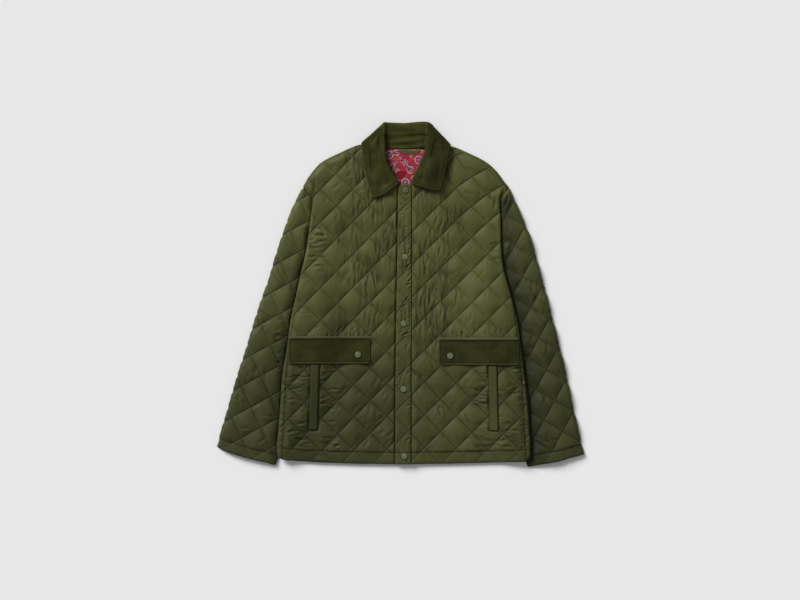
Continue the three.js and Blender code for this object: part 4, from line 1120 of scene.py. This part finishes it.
class Finish:
    def __init__(self, name):
        self.material = bpy.data.materials.new(name)
        self.material.use_nodes = True
        self.nodes, self.links = self.material.node_tree.nodes, self.material.node_tree.links
        self.shader = self.nodes["Principled BSDF"]

    def node(self, kind, settings=None, inputs=None, output=0):
        node = self.nodes.new(kind)
        for key, value in (settings or {}).items():
            setattr(node, key, value)
        for key, value in (inputs or {}).items():
            self.join(value, node.inputs[key])
        return Wire(self, node.outputs[output])

    def join(self, value, socket):
        if isinstance(value, Wire):
            self.links.new(value.socket, socket)
        else:
            socket.default_value = value

    def blend(self, factor, first, second):
        node = self.nodes.new("ShaderNodeMix")
        node.data_type = "RGBA"
        for key, value in ((0, factor), (6, first), (7, second)):
            self.join((*value, 1) if isinstance(value, tuple) else value, node.inputs[key])
        return Wire(self, node.outputs[2])

    def noise(self, scale, detail=3.0, rough=0.5, long=1.0, turn=0.0):
        place = self.node("ShaderNodeTexCoord", output="Object")
        if long != 1.0:
            place = self.node("ShaderNodeMapping", {"vector_type": "TEXTURE"}, {
                "Vector": place, "Rotation": (0, 0, math.radians(turn)), "Scale": (1, long, 1)})
        return self.node("ShaderNodeTexNoise", inputs={
            "Vector": place, "Scale": scale, "Detail": detail, "Roughness": rough})

    def painted(self, label):
        return self.node("ShaderNodeAttribute", {"attribute_name": label}, output="Fac")

    def acrossAndAlong(self, place):
        node = self.nodes.new("ShaderNodeSeparateXYZ")
        self.join(place, node.inputs[0])
        return Wire(self, node.outputs[0]), Wire(self, node.outputs[1])

    def axes(self):
        return self.acrossAndAlong(self.node("ShaderNodeTexCoord", output="Object"))

    # Above 0 the tone turns a colour lighter, below 0 darker
    def toned(self, colour, tone, lighter, darker):
        colour = self.blend(tone.atLeast(0.0), colour, lighter)
        return self.blend(0.0 - tone.atMost(0.0), colour, darker)

    def surface(self, colour, roughness, height=None, **fixed):
        self.join(colour, self.shader.inputs["Base Color"])
        self.join(roughness, self.shader.inputs["Roughness"])
        if height:
            bump = self.node("ShaderNodeBump", inputs={"Strength": 1.0, "Distance": 1.0, "Height": height})
            self.join(bump, self.shader.inputs["Normal"])
        for key, value in fixed.items():
            self.shader.inputs[key.replace("_", " ")].default_value = value
        return self.material


# light and dark are the cloth's own patchy colour; fold is the colour that painted shade darkens towards, trim
# the colour that painted light lightens towards
shellLook = {
    "light": (0.078, 0.084, 0.024), "dark": (0.060, 0.065, 0.0165), "fold": (0.010, 0.011, 0.003),
    "trim": (0.085, 0.092, 0.030), "roughness": 0.62, "weave": 0.00005, "unevenness": 0.0006,
    "pitch": 0.0515, "groove": 0.0009, "puckers": 0.0056, "puckerHeight": 0.00022,
    "creaseDepth": 0.0017, "creaseLong": 4.0, "grooveShade": 0.72, "creaseShade": 0.3,
    "sideShade": 0.17, "rightShade": 0.22, "lowShade": 0.54, "lowRightLess": 0.24, "lowSleeveLess": 0.13,
}


# Folds that are too fine for the mesh: they run at a turn in degrees, and reach says where
def creased(cloth, scale, turn, reach):
    wavy = cloth.noise(scale, 1.5, 0.45, shellLook["creaseLong"], turn)
    sharp = 1 - abs(wavy - 0.5).fade(0.0, 0.16)
    return sharp * cloth.noise(scale / 4, 1.5, 0.5, 1.6, turn).fade(0.44, 0.62) * reach


def shellFinish():
    look = shellLook
    cloth = Finish("quiltedShell")
    a, b = cloth.acrossAndAlong(cloth.node("ShaderNodeUVMap", {"uv_map": "quilt"}))
    x, y = cloth.axes()
    patches = cloth.noise(9.0, 3.0)
    cloudy = cloth.noise(45.0, 4.0)
    fine = cloth.noise(2200.0, 2.0)
    height = (fine - 0.5) * look["weave"] + (cloudy - 0.5) * look["unevenness"]

    # Upright creases down the chest, level ones below the pockets, slanting ones on the sleeves
    out = abs(x - 0.008)
    chest = (1 - out.fade(0.10, 0.19)) * y.fade(-0.15, -0.09) + (1 - out.fade(0.06, 0.12)) * 0.35
    level = out.fade(0.12, 0.17) * (1 - y.fade(-0.17, -0.12)) * (1 - out.fade(0.265, 0.285))
    arms = out.fade(0.215, 0.26) * 0.7
    quilting, tone = cloth.painted("quilting"), cloth.painted("tone")
    folds = (creased(cloth, 62.0, 4.0, chest) + creased(cloth, 74.0, 84.0, level)
             + creased(cloth, 50.0, 40.0, arms) + creased(cloth, 44.0, -35.0, 0.3)) * quilting
    height = height - folds * look["creaseDepth"]

    # A groove and small puckers along each line of stitching
    gathered = cloth.noise(34.0, 2.0).fade(0.46, 0.62)
    near = None
    for count, other, deep in ((a, b, 1.0), (b, a, (1 - y.fade(-0.2, -0.1)) * 0.3 + 0.5)):
        off = abs(count - count.maths("ROUND", count)) * look["pitch"]
        along = other * look["pitch"]
        wave = (along * (2 * math.pi / look["puckers"]) + cloth.noise(60.0, 2.0) * 22.0).wave()
        closeness = 1 - off.fade(0.0005, 0.010)
        height = height + wave * closeness * closeness * quilting * gathered * look["puckerHeight"]
        groove = (1 - off.fade(0.0, look["groove"] * 2.4)) * quilting * deep
        near = near.atLeast(groove) if near else groove
    height = height - near * look["groove"]

    colour = cloth.blend(patches.fade(0.3, 0.7), look["dark"], look["light"])
    # Painted shade on both sleeves, more on the one towards +x, and on the lower body; then painted shade in
    # the fine creases and the stitch grooves, and the painted light and shade of the tone attribute
    sides = out.fade(0.20, 0.30) * look["sideShade"] + x.fade(0.22, 0.34) * look["rightShade"]
    colour = cloth.blend(sides, colour, look["fold"])
    lowShade = (look["lowShade"] - x.fade(-0.12, 0.06) * look["lowRightLess"]
                - (1 - x.fade(-0.32, -0.22)) * look["lowSleeveLess"])
    colour = cloth.blend((1 - y.fade(-0.26, 0.06)) * lowShade, colour, look["fold"])
    colour = cloth.blend(folds * look["creaseShade"], colour, look["fold"])
    colour = cloth.blend(near * look["grooveShade"], colour, look["fold"])
    colour = cloth.toned(colour, tone, look["trim"], look["fold"])
    rough = (cloudy - 0.5) * 0.14 + look["roughness"]
    return cloth.surface(colour, rough, height, Sheen_Weight=0.015, Sheen_Roughness=0.5,
                         Specular_IOR_Level=0.17)


# light and dark are the corduroy's own patchy colour; fold is the colour that painted shade darkens towards,
# and trim the colour that the lighter tones, mostly painted light, lighten towards
cordLook = {
    "light": (0.045, 0.048, 0.0115), "dark": (0.023, 0.0245, 0.005), "trim": (0.075, 0.080, 0.026),
    "fold": (0.006, 0.006, 0.002), "wale": 0.0015, "depth": 0.00028, "pile": 0.0003, "roughness": 0.9,
    "flapShade": 0.22, "rightFlapShade": 0.10, "rightLeafShade": 0.4,
}


def cordFinish():
    look = cordLook
    cloth = Finish("corduroy")
    x, y = cloth.axes()
    sway = cloth.noise(18.0, 2.0)
    wale = (x * (2 * math.pi / look["wale"]) + sway * 5.0).wave()
    pile = cloth.noise(900.0, 3.0)
    brushed = cloth.noise(30.0, 4.0)
    height = wale * (look["depth"] / 2) + (pile - 0.5) * look["pile"]
    colour = cloth.blend(brushed.fade(0.32, 0.68), look["dark"], look["light"])
    # Painted light on the wales' ridges and painted shade between them
    colour = cloth.blend((wale * 0.5 + 0.5) * 0.35, colour, look["light"])
    # Painted shade on the flaps, more on the one towards +x, and on the leaf's wing towards +x
    flaps = (1 - y.fade(-0.02, 0.1)) * (x.fade(-0.05, 0.05) * look["rightFlapShade"] + look["flapShade"])
    shaded = flaps + y.fade(0.1, 0.2) * x.fade(0.04, 0.075) * look["rightLeafShade"]
    colour = cloth.blend(shaded, colour, look["fold"])
    colour = cloth.toned(colour, cloth.painted("tone"), look["trim"], look["fold"])
    rough = (pile - 0.5) * 0.1 + look["roughness"]
    return cloth.surface(colour, rough, height, Sheen_Weight=0.04, Sheen_Roughness=0.4,
                         Specular_IOR_Level=0.08)


liningLook = {"thread": (0.30, 0.05, 0.07), "weave": 0.00008, "roughness": 0.78}


def liningFinish():
    look = liningLook
    cloth = Finish("paisleyLining")
    # The print attribute holds the print with its painted shade
    painted = cloth.node("ShaderNodeAttribute", {"attribute_name": "print"}, output="Color")
    weave = cloth.noise(1600.0, 2.0)
    worn = cloth.noise(40.0, 3.0)
    colour = cloth.blend((weave - 0.5) * 0.2 + 0.04, painted, look["thread"])
    rough = (worn - 0.5) * 0.1 + look["roughness"]
    return cloth.surface(colour, rough, (weave - 0.5) * look["weave"], Specular_IOR_Level=0.12)


# The top snap is in the collar's shade
snapLook = {"dark": (0.100, 0.111, 0.055), "light": (0.120, 0.131, 0.069), "shaded": (0.066, 0.072, 0.022),
            "grain": 0.00002, "roughness": 0.5}


def snapFinish():
    look = snapLook
    metal = Finish("enamelledSnap")
    worn = metal.noise(260.0, 4.0)
    cloudy = metal.noise(900.0, 2.0)
    colour = metal.blend(worn.fade(0.35, 0.7), look["dark"], look["light"])
    x, y = metal.axes()
    colour = metal.blend(y.fade(0.16, 0.22) * 0.7, colour, look["shaded"])
    rough = (worn - 0.5) * 0.2 + look["roughness"]
    return metal.surface(colour, rough, (cloudy - 0.5) * look["grain"], Specular_IOR_Level=0.3)


finishes = {"shell": shellFinish(), "corduroy": cordFinish(), "lining": liningFinish(), "snap": snapFinish()}
print("finishes made")

slotOf = {part["node"]: part["material_slot"] for part in frame["record"]["subparts"]}
for node, piece in jacket.items():
    slot = slotOf[node]
    piece.data.materials.append(finishes[slot])
    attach(piece, "root")
    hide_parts(node)

# Each cloth's outline is measured, twice over for a sleeve, which is a tube
for node in slotOf:
    if node in outlines:
        (wide, long), area = outlineSize(outlines[node])
        if node in sleeves:
            wide, area = 2 * wide, 2 * area

studio = {
    "frameWide": 1.808, "away": 4.0, "centreX": -0.001, "centreY": -0.0128,
    "floor": (0.80, 0.80, 0.80), "floorSpeck": (0.78, 0.78, 0.79), "floorWide": 14, "floorHeight": -0.0004,
    "keyFrom": (-1.0, 1.15, 0.9), "keyStrength": 4.1, "keySoft": 26, "world": 0.34,
}


def buildStudio():
    bpy.ops.object.select_all(action="DESELECT")
    bpy.ops.mesh.primitive_plane_add(size=studio["floorWide"], location=(0, 0, studio["floorHeight"]))
    floor = bpy.context.object
    floor.name = "floor"
    ground = Finish("paleFloor")
    speck = ground.noise(3.0, 2.0)
    colour = ground.blend(speck * 0.04, studio["floor"], studio["floorSpeck"])
    ground.surface(colour, 0.9, Specular_IOR_Level=0.1)
    floor.data.materials.append(ground.material)

    light = bpy.data.lights.new("keyLight", "SUN")
    light.energy, light.angle = studio["keyStrength"], math.radians(studio["keySoft"])
    lamp = bpy.data.objects.new("keyLight", light)
    bpy.context.collection.objects.link(lamp)
    lamp.location = studio["keyFrom"]
    lamp.rotation_euler = lamp.location.to_track_quat("Z", "Y").to_euler()
    world = bpy.data.worlds.new("softRoom")
    world.use_nodes = True
    background = world.node_tree.nodes["Background"]
    background.inputs["Color"].default_value = (1, 1, 1, 1)
    background.inputs["Strength"].default_value = studio["world"]
    bpy.context.scene.world = world
    lens = bpy.data.cameras.new("view")
    lens.sensor_width = 36
    lens.lens = 36 * studio["away"] / studio["frameWide"]
    camera = bpy.data.objects.new("view", lens)
    bpy.context.collection.objects.link(camera)
    camera.location = (studio["centreX"], studio["centreY"], studio["away"])
    bpy.context.scene.camera = camera
    bpy.context.scene.view_settings.view_transform = "Standard"


buildStudio()
print("studio ready")
